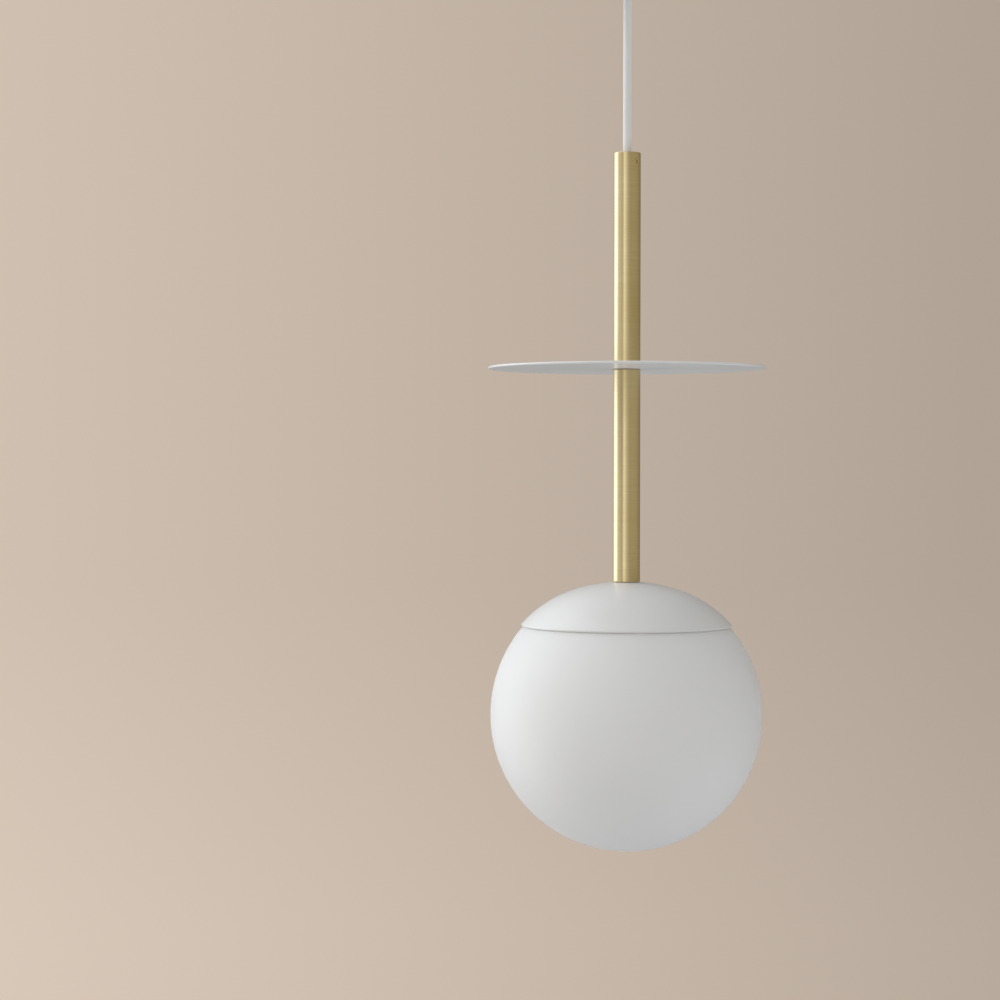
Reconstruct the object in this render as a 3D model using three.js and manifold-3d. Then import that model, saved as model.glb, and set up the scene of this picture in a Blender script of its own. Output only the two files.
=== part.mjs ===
// A pendant ceiling light: a brass tube in two lengths that clamp a thin disc, a domed cap and an opal glass
// globe, hung on a textile cord from a ceiling canopy. Millimetres, +Z up, origin at the ceiling.
import * as THREE from "three";
import { mergeVertices } from "three/addons/utils/BufferGeometryUtils.js";
import Module from "manifold-3d";

const wasm = await Module();
wasm.setup();

// ---- driving dimensions ----
const GAP = 0.3; // between pieces that touch
const CHAMFER = 0.5; // on the tubes' ends

const GLOBE_RADIUS = 100;
const GLASS_WALL = 2.6;
const GLOBE_CENTRE_Z = -572;
const NECK_RADIUS = 58;
const GLASS_SHOULDER = { radius: 8, sineOfReach: 0.768 }; // where the glass turns in to its flange
const FLANGE = { thickness: 3, lip: 1.5 };
const SEAT = { radius: 68.5, z: 69.6, section: 2.4 }; // z above the globe's centre

const TUBE_RADIUS = 10;
const TUBE_WALL = 1;
const TUBE_LENGTH = 156.6;
const TUBE_JOINT = 255.3; // middle of the disc, above the globe's centre
const TUBE_SEAT_DEPTH = 0.1; // how far the tube stands below the cap's apex
const INSERT_LENGTH = 12;
const INSERT_SETBACK = 1;
const PLUG_LENGTH = 12;
const GRUB_SCREW = { depth: 6.5, radius: 1.5, hole: 1.8, head: 9.8, turn: -48, socket: 0.8, socketDepth: 1.5 };
const DISC_RADIUS = 102;
const DISC_THICKNESS = 1.8;

const CORD_RADIUS = 3;
const CORD_PIVOT_Z = -39; // where the cord leaves its grip and bends
const CORD_STUB_TOP = -19;
const CORD_BEND_LENGTH = 3;
const CORD_OVERLAP = 3.2; // how far the cord reaches into the tube before the plug grips it
const INNER_CORD_END = 68.5; // above the globe's centre

const CAP_APEX = 98.1; // above the globe's centre
const CAP_CROWN_RADIUS = 124;
const CAP_CROWN_REACH = 40; // the crown ends and the shoulder starts at this radius
const CAP_SHOULDER_RADIUS = 87;
const CAP_RIM_RADIUS = 77.4;
const CAP_WALL = 1.2;
const CAP_HEM = { radius: 1, z: 66.3 };

const CANOPY_RADIUS = 50;
const CANOPY_DEPTH = 34;
const CANOPY_WALL = 1;
const CANOPY_CORNER = 6;

const BRACKET = { half: 46.5, width: 22, thickness: 1.5, ear: 22, bend: 3 };
const CEILING_SLOT = { x: 26, length: 18, width: 5.2 };
const SIDE_SCREW = { z: -14, head: 3.4, tall: 2.2, shank: 1.7, length: 8, hole: 2 };
const EARTH_SCREW = { x: -40, head: 3.4, tall: 2.4, shank: 1.6, length: 1.4, hole: 2 };
const DRIVER_SLOT = 0.8;

const NIPPLE_RADIUS = 5; // M10 x 1 threaded tube
const NIPPLE_BORE = 3.9;
const NIPPLE_HOLE = NIPPLE_RADIUS + GAP;
const NIPPLE_REACH = 9; // of the short one, each side of the disc
const DOME_NIPPLE = { bottom: 70, intoTube: 11 };
const NUT = { flats: 14, grip: 4, gallery: 3 };
const CORD_HOLE = CORD_RADIUS + 0.4;
const WIRE_RADIUS = 1.1;

const GRIP = { top: -22, bottom: -43.5, flange: 9, collar: 9.2, mouth: 7.6, flare: 4.2 };
const BLOCK = { width: 27, depth: 17, top: -1.8, bottom: -14.8, pole: 8.4, y: 4, wireZ: -6 };
const BLOCK_SCREW = { y: 5, radius: 1.6, well: 2, low: -13.6, high: -8.2, slot: 0.6 };
const FIXING = { x: 4.2, head: 2.6, tall: 1.6, shank: 1.3, length: 10.4, hole: 1.7, well: 3, seat: -11.2 };

const PLATE = { radius: 54, top: 81, thickness: 1.5, vent: 6, ventCircle: 30 };
const SPACER = { radius: 8, top: 96.3 };
const WASHER = { radius: 9, bottom: 78.2 };
const CLIP = { count: 3, width: 12, thickness: 0.8, bend: 2, bendR: 51 };
const RIVET = { circle: 46, radius: 1.6, head: 3, crown: 1.2 };

const HOLDER_TOP = 74.6; // heights of the lampholder and bulb are above the globe's centre
const HOLDER_RADIUS = 19.5;
const HOLDER_CORE = { radius: 14.2, hole: 2.2, bottom: 50.2, top: 57 };
const CENTRE_CONTACT = { length: 10, width: 4, thickness: 0.8, x: 2.5, z: 49.3 };
const SIDE_CONTACT = { thickness: 0.6, width: 5, length: 18, x: 13.85, z: 39 };

const BULB_RADIUS = 30;
const BULB_CENTRE = -30;
const BULB_WALL = 1.4;
const BULB_CAP_RADIUS = 13.1;
const COLLAR_BOTTOM = -14;
const COLLAR_WALL = 1.6;

const FINE = 32; // facets round a large piece
const MEDIUM = 20;
const SMALL = 12;
const TUBE_FACETS = 24;
const DISC_FACETS = 40;
const CUT = 2; // how far a cutter runs past the face that it opens

// ---- materials ----
const finish = (color, roughness, metalness) => () =>
  new THREE.MeshStandardMaterial({ color, roughness, metalness });
const whitePaint = finish(0xeceae5, 0.45, 0);
const brass = finish(0xcaa566, 0.32, 1);
const plainBrass = finish(0xb8964f, 0.4, 1);
const opalGlass = finish(0xf1f0ec, 0.3, 0);
const zincSteel = finish(0xb9bcbf, 0.4, 1);
const springSteel = finish(0xa8abad, 0.3, 1);
const whitePlastic = finish(0xe8e8e4, 0.5, 0);
const blackPlastic = finish(0x202020, 0.5, 0);
const clearRubber = finish(0xd8d6cf, 0.7, 0);
const textile = finish(0xe6e3dd, 0.9, 0);
const brownWire = finish(0x6b4226, 0.5, 0);
const blueWire = finish(0x3465a4, 0.5, 0);
const earthWire = finish(0x9aa832, 0.5, 0);

// ---- shape helpers ----
const light = new THREE.Group();

function add(name, geometry, material) {
  const mesh = new THREE.Mesh(geometry, material());
  mesh.name = name;
  light.add(mesh);
  return mesh;
}

// Points of an arc about (r, z), angles in degrees measured from the +r direction.
function arc(r, z, radius, from, to, steps) {
  return Array.from({ length: steps + 1 }, (_, i) => {
    const a = THREE.MathUtils.degToRad(from + ((to - from) * i) / steps);
    return [r + radius * Math.cos(a), z + radius * Math.sin(a)];
  });
}

const shifted = (profile, dz) => profile.map(([r, z]) => [r, z + dz]);
const fromGlobe = (profile) => shifted(profile, GLOBE_CENTRE_Z);

// Twice the signed area of an outline: positive when it runs anticlockwise.
const turning = (p) =>
  p.reduce((sum, [x, y], i) => {
    const [nx, ny] = p[(i + 1) % p.length];
    return sum + x * ny - nx * y;
  }, 0);

// A solid of revolution about Z from an outline of [r, z] points, closed on itself unless it ends on the axis.
function revolve(outline, segments) {
  const p = turning(outline) > 0 ? [...outline] : [...outline].reverse();
  const onAxis = p.filter(([r]) => r === 0).length >= 2;
  if (!onAxis) p.push(p[0]);
  while (onAxis && !(p[0][0] === 0 && p.at(-1)[0] === 0)) p.push(p.shift());
  const points = p.map(([r, z]) => new THREE.Vector2(r, z));
  return new THREE.LatheGeometry(points, segments).rotateX(Math.PI / 2);
}

// A round bar with a bore, its outer edges chamfered where a chamfer is given.
function sleeve(outer, inner, bottom, top, segments, chamfer = 0) {
  const edges = chamfer
    ? [
        [outer - chamfer, bottom],
        [outer, bottom + chamfer],
        [outer, top - chamfer],
        [outer - chamfer, top],
      ]
    : [
        [outer, bottom],
        [outer, top],
      ];
  return revolve([[inner, bottom], ...edges, [inner, top]], segments);
}

function outlineShape(points, holes = []) {
  const shape = new THREE.Shape(points.map(([x, y]) => new THREE.Vector2(x, y)));
  for (const [x, y, r] of holes) {
    shape.holes.push(new THREE.Path().absarc(x, y, r, 0, 2 * Math.PI, true));
  }
  return shape;
}

const plain = (depth, curveSegments = 6) => ({
  depth,
  curveSegments,
  bevelEnabled: false,
});

// A round-section wire or cord along a smooth curve through the points.
function round(points, radius, sides, steps) {
  const path = new THREE.CatmullRomCurve3(
    points.map((p) => new THREE.Vector3(...p)),
    false,
    "centripetal",
  );
  const ring = Array.from({ length: sides }, (_, i) => {
    const a = (2 * Math.PI * i) / sides;
    return [radius * Math.cos(a), radius * Math.sin(a)];
  });
  return new THREE.ExtrudeGeometry(outlineShape(ring), {
    steps,
    extrudePath: path,
    bevelEnabled: false,
  });
}

// The outline of a bent strip of even thickness along [r, z] points.
function stripOutline(points, thickness) {
  const side = (sign) =>
    points.map(([x, y], i) => {
      const [ax, ay] = points[Math.max(i - 1, 0)];
      const [bx, by] = points[Math.min(i + 1, points.length - 1)];
      const length = Math.hypot(bx - ax, by - ay);
      const reach = (sign * thickness) / 2 / length;
      return [x - reach * (by - ay), y + reach * (bx - ax)];
    });
  return [...side(-1), ...side(1).reverse()];
}

// ---- cutting and joining ----
function toSolid(geometry) {
  const bare = geometry.index ? geometry.toNonIndexed() : geometry.clone();
  bare.deleteAttribute("normal");
  bare.deleteAttribute("uv");
  const merged = mergeVertices(bare, 1e-3);
  return new wasm.Manifold(
    new wasm.Mesh({
      numProp: 3,
      vertProperties: new Float32Array(merged.attributes.position.array),
      triVerts: new Uint32Array(merged.index.array),
    }),
  );
}

function fromSolid(solid) {
  const { vertProperties, triVerts } = solid.getMesh();
  const geometry = new THREE.BufferGeometry();
  geometry.setAttribute("position", new THREE.BufferAttribute(vertProperties, 3));
  geometry.setIndex(new THREE.BufferAttribute(triVerts, 1));
  return geometry;
}

const cut = (geometry, tools) =>
  fromSolid(tools.reduce((s, t) => s.subtract(toSolid(t)), toSolid(geometry)));

const pinAlongZ = (x, y, radius, bottom, top, segments = SMALL) =>
  new THREE.CylinderGeometry(radius, radius, top - bottom, segments)
    .rotateX(Math.PI / 2)
    .translate(x, y, (bottom + top) / 2);

const pinAlongX = (y, z, radius, left, right, segments = SMALL) =>
  new THREE.CylinderGeometry(radius, radius, right - left, segments)
    .rotateZ(Math.PI / 2)
    .translate((left + right) / 2, y, z);

// A pan-head screw along +Z, head at the top with its underside at z = 0, with a straight driver slot.
function screw(headRadius, headHeight, shankRadius, length) {
  const outline = [
    [0, -length],
    [shankRadius - 0.3, -length],
    [shankRadius, -length + 0.3],
    [shankRadius, 0],
    [headRadius, 0],
    [headRadius, headHeight * 0.5],
    [headRadius * 0.8, headHeight * 0.9],
    [headRadius * 0.4, headHeight],
    [0, headHeight],
  ];
  const slot = new THREE.BoxGeometry(headRadius * 3, DRIVER_SLOT, headHeight);
  slot.translate(0, 0, headHeight);
  return cut(revolve(outline, SMALL), [slot]);
}

function hexNut(acrossFlats, hole, bottom, top) {
  const corner = acrossFlats / Math.sqrt(3);
  const points = Array.from({ length: 6 }, (_, i) => [
    corner * Math.cos((i * Math.PI) / 3),
    corner * Math.sin((i * Math.PI) / 3),
  ]);
  const shape = outlineShape(points, [[0, 0, hole]]);
  return new THREE.ExtrudeGeometry(shape, plain(top - bottom)).translate(0, 0, bottom);
}

// ---- ceiling bracket: a bent strap with two ceiling slots and a threaded ear at each end ----
function slotCutter(x) {
  const r = CEILING_SLOT.width / 2;
  const half = CEILING_SLOT.length / 2 - r;
  const path = new THREE.Shape();
  path.absarc(x + half, 0, r, -Math.PI / 2, Math.PI / 2, false);
  path.absarc(x - half, 0, r, Math.PI / 2, (3 * Math.PI) / 2, false);
  const depth = 2 * CUT + BRACKET.thickness;
  return new THREE.ExtrudeGeometry(path, plain(depth)).translate(0, 0, CUT - depth);
}

// The pair of holes for the side screws, through a wall at the given distance from the axis.
const sideHoles = (reach) =>
  [-reach, reach].map((x) =>
    pinAlongX(0, SIDE_SCREW.z, SIDE_SCREW.hole, x - 2 * CUT, x + 2 * CUT),
  );

function bracketGeometry() {
  const { half, bend, ear, width, thickness } = BRACKET;
  const inner = bend - thickness;
  const outline = [
    [-half, -ear],
    ...arc(-half + bend, -bend, bend, 180, 90, 3),
    ...arc(half - bend, -bend, bend, 90, 0, 3),
    [half, -ear],
    [half - thickness, -ear],
    ...arc(half - bend, -bend, inner, 0, 90, 3),
    ...arc(-half + bend, -bend, inner, 90, 180, 3),
    [-half + thickness, -ear],
  ];
  const strap = new THREE.ExtrudeGeometry(outlineShape(outline.reverse()), plain(width));
  strap.rotateX(Math.PI / 2).translate(0, width / 2, 0);
  return cut(strap, [
    slotCutter(CEILING_SLOT.x),
    slotCutter(-CEILING_SLOT.x),
    ...sideHoles(half),
    pinAlongZ(EARTH_SCREW.x, 0, EARTH_SCREW.hole, -thickness - CUT, CUT),
    pinAlongZ(FIXING.x, BLOCK.y, FIXING.hole, -thickness - CUT, CUT),
  ]);
}

add("ceiling_bracket", bracketGeometry(), zincSteel);

// ---- canopy ----
function canopyGeometry() {
  const top = -GAP;
  const r = CANOPY_RADIUS;
  const c = CANOPY_CORNER;
  const hole = NIPPLE_HOLE;
  const outline = [
    [r - CANOPY_WALL, top],
    ...arc(r - c, -CANOPY_DEPTH + c, c - CANOPY_WALL, 0, -90, 3),
    [hole, -CANOPY_DEPTH + CANOPY_WALL],
    [hole, -CANOPY_DEPTH],
    ...arc(r - c, -CANOPY_DEPTH + c, c, -90, 0, 4),
    [r, top],
  ];
  return cut(revolve(outline, FINE), sideHoles(r));
}

add("canopy", canopyGeometry(), whitePaint);

for (const [side, turn] of [
  ["right", Math.PI / 2],
  ["left", -Math.PI / 2],
]) {
  const { head, tall, shank, length } = SIDE_SCREW;
  const geometry = screw(head, tall, shank, length).translate(0, 0, CANOPY_RADIUS + GAP);
  geometry.rotateY(turn).translate(0, 0, SIDE_SCREW.z);
  add("canopy_screw_" + side, geometry, brass);
}

// ---- cord grip: a threaded stem through the canopy, held by a nut, with a flared mouth below ----
const flangeTop = -CANOPY_DEPTH - GAP;

const gripOutline = [
  [CORD_HOLE, GRIP.top],
  [NIPPLE_RADIUS - 0.4, GRIP.top],
  [NIPPLE_RADIUS, GRIP.top - 0.4],
  [NIPPLE_RADIUS, flangeTop],
  [GRIP.flange, flangeTop],
  [GRIP.collar, flangeTop - 1.2],
  ...arc(GRIP.mouth, flangeTop - 5, 1.2, 90, 0, 2),
  ...arc(GRIP.mouth + 0.2, GRIP.bottom + 1, 1, 0, -90, 2),
  ...arc(GRIP.mouth, GRIP.bottom + 5.5, GRIP.flare, -100, -180, 4),
];
add("cord_grip", revolve(gripOutline, MEDIUM), whitePlastic);
const nutBottom = -CANOPY_DEPTH + CANOPY_WALL + GAP;
add("grip_nut", hexNut(NUT.flats, NIPPLE_HOLE, nutBottom, nutBottom + NUT.grip), whitePlastic);

const cordPiece = (top, bottom, steps) =>
  round([[0, 0, top], [0, 0, bottom]], CORD_RADIUS, SMALL, steps);
add("clamped_cord", cordPiece(CORD_STUB_TOP, CORD_PIVOT_Z + GAP, 2), textile);

// ---- wiring in the canopy ----
const poles = [-BLOCK.pole, 0, BLOCK.pole];

function terminalBlockGeometry() {
  const half = BLOCK.width / 2;
  const bump = BLOCK.pole / 2;
  const outline = [
    [half, BLOCK.top],
    [-half, BLOCK.top],
    [-half, BLOCK.bottom + bump],
    ...poles.flatMap((x) => arc(x, BLOCK.bottom + bump, bump - 0.1, 180, 360, 6)),
    [half, BLOCK.bottom + bump],
  ];
  const body = new THREE.ExtrudeGeometry(outlineShape(outline), plain(BLOCK.depth));
  body.rotateX(Math.PI / 2).translate(0, BLOCK.y + BLOCK.depth / 2, 0);
  const tunnel = [WIRE_RADIUS + 0.5, WIRE_RADIUS + 0.5, BLOCK.depth + CUT, SMALL];
  const tunnels = poles.map((x) =>
    new THREE.CylinderGeometry(...tunnel).translate(x, BLOCK.y, BLOCK.wireZ),
  );
  const below = BLOCK.bottom - CUT;
  const wells = screwPlaces.map(([x, y]) =>
    pinAlongZ(x, y, BLOCK_SCREW.well, below, BLOCK.wireZ - 1),
  );
  const fixing = pinAlongZ(FIXING.x, BLOCK.y, FIXING.hole, below, 0);
  const headWell = pinAlongZ(FIXING.x, BLOCK.y, FIXING.well, below, FIXING.seat + GAP);
  return cut(body, [...tunnels, ...wells, fixing, headWell]);
}

const screwPlaces = poles.flatMap((x) => [
  [x, BLOCK.y - BLOCK_SCREW.y],
  [x, BLOCK.y + BLOCK_SCREW.y],
]);
add("terminal_block", terminalBlockGeometry(), whitePlastic);

screwPlaces.forEach(([x, y], i) => {
  const { radius, low, high } = BLOCK_SCREW;
  const geometry = pinAlongZ(0, 0, radius, low, high);
  const slot = new THREE.BoxGeometry(4 * radius, BLOCK_SCREW.slot, 1.2).translate(0, 0, low);
  add("terminal_screw_" + (i + 1), cut(geometry, [slot]).translate(x, y, 0), zincSteel);
});

const upwards = ({ head, tall, shank, length }, x, y, z) =>
  screw(head, tall, shank, length).rotateX(Math.PI).translate(x, y, z);
add("terminal_fixing_screw", upwards(FIXING, FIXING.x, BLOCK.y, FIXING.seat), zincSteel);
const earthSeat = -BRACKET.thickness - GAP;
add("earth_screw", upwards(EARTH_SCREW, EARTH_SCREW.x, 0, earthSeat), plainBrass);

const wireEntry = BLOCK.y - BLOCK.depth / 2 + 3;
for (const [i, [name, material]] of [
  ["wire_live", brownWire],
  ["wire_earth", earthWire],
  ["wire_neutral", blueWire],
].entries()) {
  const x = poles[i];
  const start = [(i - 1) * 2.4, 0, CORD_STUB_TOP + GAP];
  const route = [
    start,
    [start[0] * 1.2, -0.6, -17],
    [x * 0.6, -6, -15.2],
    [x, -12.5, -12],
    [x, -13, -8],
    [x, -9, BLOCK.wireZ],
    [x, wireEntry, BLOCK.wireZ],
  ];
  add(name, round(route, WIRE_RADIUS, 8, 14), material);
}

// ---- cord: a short bend at the grip, then the straight stretch into the tube ----
const upperBottom = GLOBE_CENTRE_Z + TUBE_JOINT + DISC_THICKNESS / 2 + GAP;
const upperTop = upperBottom + TUBE_LENGTH;
const lowerTop = upperBottom - DISC_THICKNESS - 2 * GAP;
const lowerBottom = GLOBE_CENTRE_Z + CAP_APEX - TUBE_SEAT_DEPTH;
const bendBottom = CORD_PIVOT_Z - CORD_BEND_LENGTH;
const cordEnd = upperTop - CORD_OVERLAP;

add("cord_bend", cordPiece(CORD_PIVOT_Z, bendBottom, 1), textile);
add("cord", cordPiece(bendBottom - GAP, cordEnd, 8), textile);

// ---- upper tube, its end plug and the cord inside ----
const tubeInner = TUBE_RADIUS - TUBE_WALL;
const insertRadius = tubeInner - GAP;

const tube = (bottom, top) =>
  sleeve(TUBE_RADIUS, tubeInner, bottom, top, TUBE_FACETS, CHAMFER);
const insert = (bottom) =>
  sleeve(insertRadius, NIPPLE_HOLE, bottom, bottom + INSERT_LENGTH, TUBE_FACETS);

const grubZ = upperTop - GRUB_SCREW.depth;
const grubTurn = THREE.MathUtils.degToRad(GRUB_SCREW.turn);
const grubPin = (radius, from, to, sides) =>
  pinAlongX(0, grubZ, radius, from, to, sides).rotateZ(grubTurn);
const grubHole = grubPin(GRUB_SCREW.hole, 1, TUBE_RADIUS + CUT);
add("upper_tube", cut(tube(upperBottom, upperTop), [grubHole]), brass);

const plugTop = upperTop - GAP;
const plug = sleeve(insertRadius, CORD_HOLE, plugTop - PLUG_LENGTH, plugTop, TUBE_FACETS);
add("tube_plug", cut(plug, [grubHole]), brass);
const grubHead = GRUB_SCREW.head;
const grub = grubPin(GRUB_SCREW.radius, CORD_RADIUS + GAP, grubHead);
const socket = grubPin(GRUB_SCREW.socket, grubHead - GRUB_SCREW.socketDepth, grubHead + CUT, 6);
add("plug_grub_screw", cut(grub, [socket]), zincSteel);
add("inner_cord", cordPiece(cordEnd - GAP, GLOBE_CENTRE_Z + INNER_CORD_END, 6), textile);

// ---- disc and the threaded tube that clamps it ----
const discTop = upperBottom - GAP;
const discBottom = discTop - DISC_THICKNESS;
const rimRound = DISC_THICKNESS / 2;
const discOutline = [
  [NIPPLE_HOLE, discBottom],
  ...arc(DISC_RADIUS - rimRound, discTop - rimRound, rimRound, -90, 90, 3),
  [NIPPLE_HOLE, discTop],
];
add("upper_insert", insert(upperBottom + INSERT_SETBACK), plainBrass);
add("disc", revolve(discOutline, DISC_FACETS), whitePaint);
const nipple = (bottom, top) => sleeve(NIPPLE_RADIUS, NIPPLE_BORE, bottom, top, MEDIUM);
add("disc_nipple", nipple(discBottom - NIPPLE_REACH, discTop + NIPPLE_REACH), zincSteel);
add("middle_insert", insert(lowerTop - INSERT_SETBACK - INSERT_LENGTH), plainBrass);

// ---- lower tube ----
add("lower_tube", tube(lowerBottom, lowerTop), brass);
add("lower_insert", insert(lowerBottom + INSERT_SETBACK), plainBrass);
const domeNippleBottom = GLOBE_CENTRE_Z + DOME_NIPPLE.bottom;
add("dome_nipple", nipple(domeNippleBottom, lowerBottom + DOME_NIPPLE.intoTube), zincSteel);

// ---- domed cap: a crown arc, a tighter shoulder arc and a rolled hem ----
const hemR = CAP_RIM_RADIUS - CAP_HEM.radius;

function capCurve(offset, steps) {
  const crownTurn = Math.asin(CAP_CROWN_REACH / CAP_CROWN_RADIUS);
  const crownZ = CAP_APEX - CAP_CROWN_RADIUS;
  const step = CAP_CROWN_RADIUS - CAP_SHOULDER_RADIUS;
  const shoulderR = step * Math.sin(crownTurn);
  const shoulderZ = crownZ + step * Math.cos(crownTurn);
  const turn = 90 - THREE.MathUtils.radToDeg(crownTurn);
  const crown = CAP_CROWN_RADIUS - offset;
  const shoulder = CAP_SHOULDER_RADIUS - offset;
  const reach = hemR - shoulderR;
  const rimTurn = THREE.MathUtils.radToDeg(Math.acos(reach / CAP_SHOULDER_RADIUS));
  const holeTurn = THREE.MathUtils.radToDeg(Math.acos(NIPPLE_HOLE / crown));
  return [
    ...arc(0, crownZ, crown, holeTurn, turn, 3),
    ...arc(shoulderR, shoulderZ, shoulder, turn, rimTurn + 1.5, steps).slice(1),
  ];
}

const capOutline = [
  ...capCurve(0, 5),
  ...arc(hemR, CAP_HEM.z, CAP_HEM.radius, 35, -180, 5),
  ...capCurve(CAP_WALL, 4).reverse(),
];
add("dome_cap", revolve(fromGlobe(capOutline), FINE), whitePaint);

// ---- gallery: spacer, plate, washer and nut on the threaded tube, with three sprung arms for the glass ----
const plateBottom = PLATE.top - PLATE.thickness;
const globeSleeve = (outer, inner, bottom, top, segments) =>
  sleeve(outer, inner, GLOBE_CENTRE_Z + bottom, GLOBE_CENTRE_Z + top, segments);
const spacer = globeSleeve(SPACER.radius, NIPPLE_HOLE, PLATE.top + GAP, SPACER.top, MEDIUM);
add("spacer_sleeve", spacer, zincSteel);

const clipAngles = Array.from({ length: CLIP.count }, (_, i) => 90 + (360 * i) / CLIP.count);
const onCircle = (radius, degrees) => {
  const a = THREE.MathUtils.degToRad(degrees);
  return [radius * Math.cos(a), radius * Math.sin(a)];
};

const rivetHoles = clipAngles.map((a) => [...onCircle(RIVET.circle, a), RIVET.radius + GAP]);
const halfway = 180 / CLIP.count;
const ventHoles = clipAngles.map((a) => [...onCircle(PLATE.ventCircle, a + halfway), PLATE.vent]);
const rim = Array.from({ length: FINE }, (_, i) => onCircle(PLATE.radius, (360 * i) / FINE));
const plateShape = outlineShape(rim, [[0, 0, NIPPLE_HOLE], ...rivetHoles, ...ventHoles]);
const plate = new THREE.ExtrudeGeometry(plateShape, plain(PLATE.thickness));
plate.translate(0, 0, GLOBE_CENTRE_Z + plateBottom);
add("gallery_plate", plate, zincSteel);
const washerTop = plateBottom - GAP;
const washer = globeSleeve(WASHER.radius, NIPPLE_HOLE, WASHER.bottom, washerTop, MEDIUM);
add("gallery_washer", washer, zincSteel);
const nutZ = GLOBE_CENTRE_Z + HOLDER_TOP + GAP;
add("gallery_nut", hexNut(NUT.flats, NIPPLE_HOLE, nutZ, nutZ + NUT.gallery), zincSteel);

const clipZ = plateBottom - GAP - CLIP.thickness / 2;
const clipLine = [
  [39, clipZ],
  [CLIP.bendR, clipZ],
  ...arc(CLIP.bendR, clipZ - CLIP.bend, CLIP.bend, 60, 0, 2),
  [CLIP.bendR + CLIP.bend, 70],
  ...arc(52.6, 63, 3.9, 35, -35, 4),
  [53.6, 57.5],
  [51.6, 55.5],
];

clipAngles.forEach((angle, i) => {
  const outline = outlineShape(stripOutline(clipLine, CLIP.thickness));
  const arm = new THREE.ExtrudeGeometry(outline, plain(CLIP.width));
  arm.rotateX(Math.PI / 2).translate(0, CLIP.width / 2, 0);
  const hole = pinAlongZ(RIVET.circle, 0, RIVET.radius + GAP, clipZ - CUT, clipZ + CUT);
  const clip = cut(arm, [hole]);
  clip.rotateZ(THREE.MathUtils.degToRad(angle)).translate(0, 0, GLOBE_CENTRE_Z);
  add("spring_clip_" + (i + 1), clip, springSteel);

  const low = clipZ - CLIP.thickness / 2 - GAP;
  const high = PLATE.top + GAP;
  const rivet = [
    [0, low - RIVET.crown],
    [2, low - RIVET.crown + 0.1],
    [RIVET.head, low],
    [RIVET.radius, low],
    [RIVET.radius, high],
    [RIVET.head, high],
    [2, high + RIVET.crown - 0.1],
    [0, high + RIVET.crown],
  ];
  const [x, y] = onCircle(RIVET.circle, angle);
  add("clip_rivet_" + (i + 1), revolve(fromGlobe(rivet), SMALL).translate(x, y, 0), zincSteel);
});

// ---- glass globe: a sphere whose shoulder turns in to a flat flange ----
function globeOutline() {
  const bend = GLASS_SHOULDER.radius;
  const tangent = Math.asin(GLASS_SHOULDER.sineOfReach);
  const tangentDegrees = 90 - THREE.MathUtils.radToDeg(tangent);
  const reach = GLOBE_RADIUS - bend;
  const shoulder = [reach * Math.sin(tangent), reach * Math.cos(tangent)];
  const top = shoulder[1] + bend;
  const bottom = top - FLANGE.thickness;
  const inner = GLOBE_RADIUS - GLASS_WALL;
  const innerDegrees = THREE.MathUtils.radToDeg(Math.asin(bottom / inner));
  const { lip } = FLANGE;
  return [
    ...arc(NECK_RADIUS + lip, top - lip, lip, 270, 90, 3),
    ...arc(...shoulder, bend, 90, tangentDegrees, 3),
    ...arc(0, 0, GLOBE_RADIUS, tangentDegrees, -90, 14).slice(1, -1),
    [0, -GLOBE_RADIUS],
    [0, -inner],
    ...arc(0, 0, inner, -90, innerDegrees, 11).slice(1),
  ];
}

add("globe", revolve(fromGlobe(globeOutline()), FINE), opalGlass);
const seatOutline = arc(SEAT.radius, SEAT.z, SEAT.section, 0, 360, 8).slice(0, -1);
add("seat_ring", revolve(fromGlobe(seatOutline), FINE), clearRubber);

// ---- lampholder ----
const capShell = [
  [NIPPLE_HOLE, HOLDER_TOP],
  [9, HOLDER_TOP],
  [9.8, HOLDER_TOP - 3],
  ...arc(11.5, 62.5, 8, 80, 0, 4),
  [HOLDER_RADIUS, 57.5],
  [17.6, 57.5],
  ...arc(11.5, 62.5, 6.1, 0, 85, 3),
  [NIPPLE_HOLE, HOLDER_TOP - 6],
];
add("holder_cap", revolve(fromGlobe(capShell), MEDIUM), whitePlastic);
const bodyShell = [
  [HOLDER_RADIUS, 57.2],
  [HOLDER_RADIUS, 34],
  [20.6, 33],
  [20.6, 24],
  [19.4, 22],
  [15, 22],
  [14.8, 23],
  [14.8, 57.2],
];
add("holder_body", revolve(fromGlobe(bodyShell), MEDIUM), whitePlastic);
const { radius: coreRadius, hole: coreHole, bottom: coreBottom, top: coreTop } = HOLDER_CORE;
const core = globeSleeve(coreRadius, coreHole, coreBottom, coreTop, MEDIUM);
add("holder_core", core, whitePlastic);

const strip = ({ x, z }, ...sides) =>
  new THREE.BoxGeometry(...sides).translate(x, 0, GLOBE_CENTRE_Z + z);
const { length: tongueLength, width: tongueWidth, thickness: tongueThickness } = CENTRE_CONTACT;
const tongue = strip(CENTRE_CONTACT, tongueLength, tongueWidth, tongueThickness);
add("centre_contact", tongue, plainBrass);
const { length: stripLength, width: stripWidth, thickness: stripThickness } = SIDE_CONTACT;
add("side_contact", strip(SIDE_CONTACT, stripThickness, stripWidth, stripLength), plainBrass);

for (const [name, side, material] of [
  ["holder_wire_live", -1, brownWire],
  ["holder_wire_neutral", 1, blueWire],
]) {
  const route = [
    [side * 1.6, 0, 68],
    [side * 1.7, 0, 66.6],
    [side * 3, 0.4, 64.8],
    [side * 7, 2, 62.5],
    [side * 8, 2, 60],
    [side * 8, 2, 57.4],
  ].map(([x, y, z]) => [x, y, z + GLOBE_CENTRE_Z]);
  add(name, round(route, WIRE_RADIUS, 8, 8), material);
}

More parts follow.
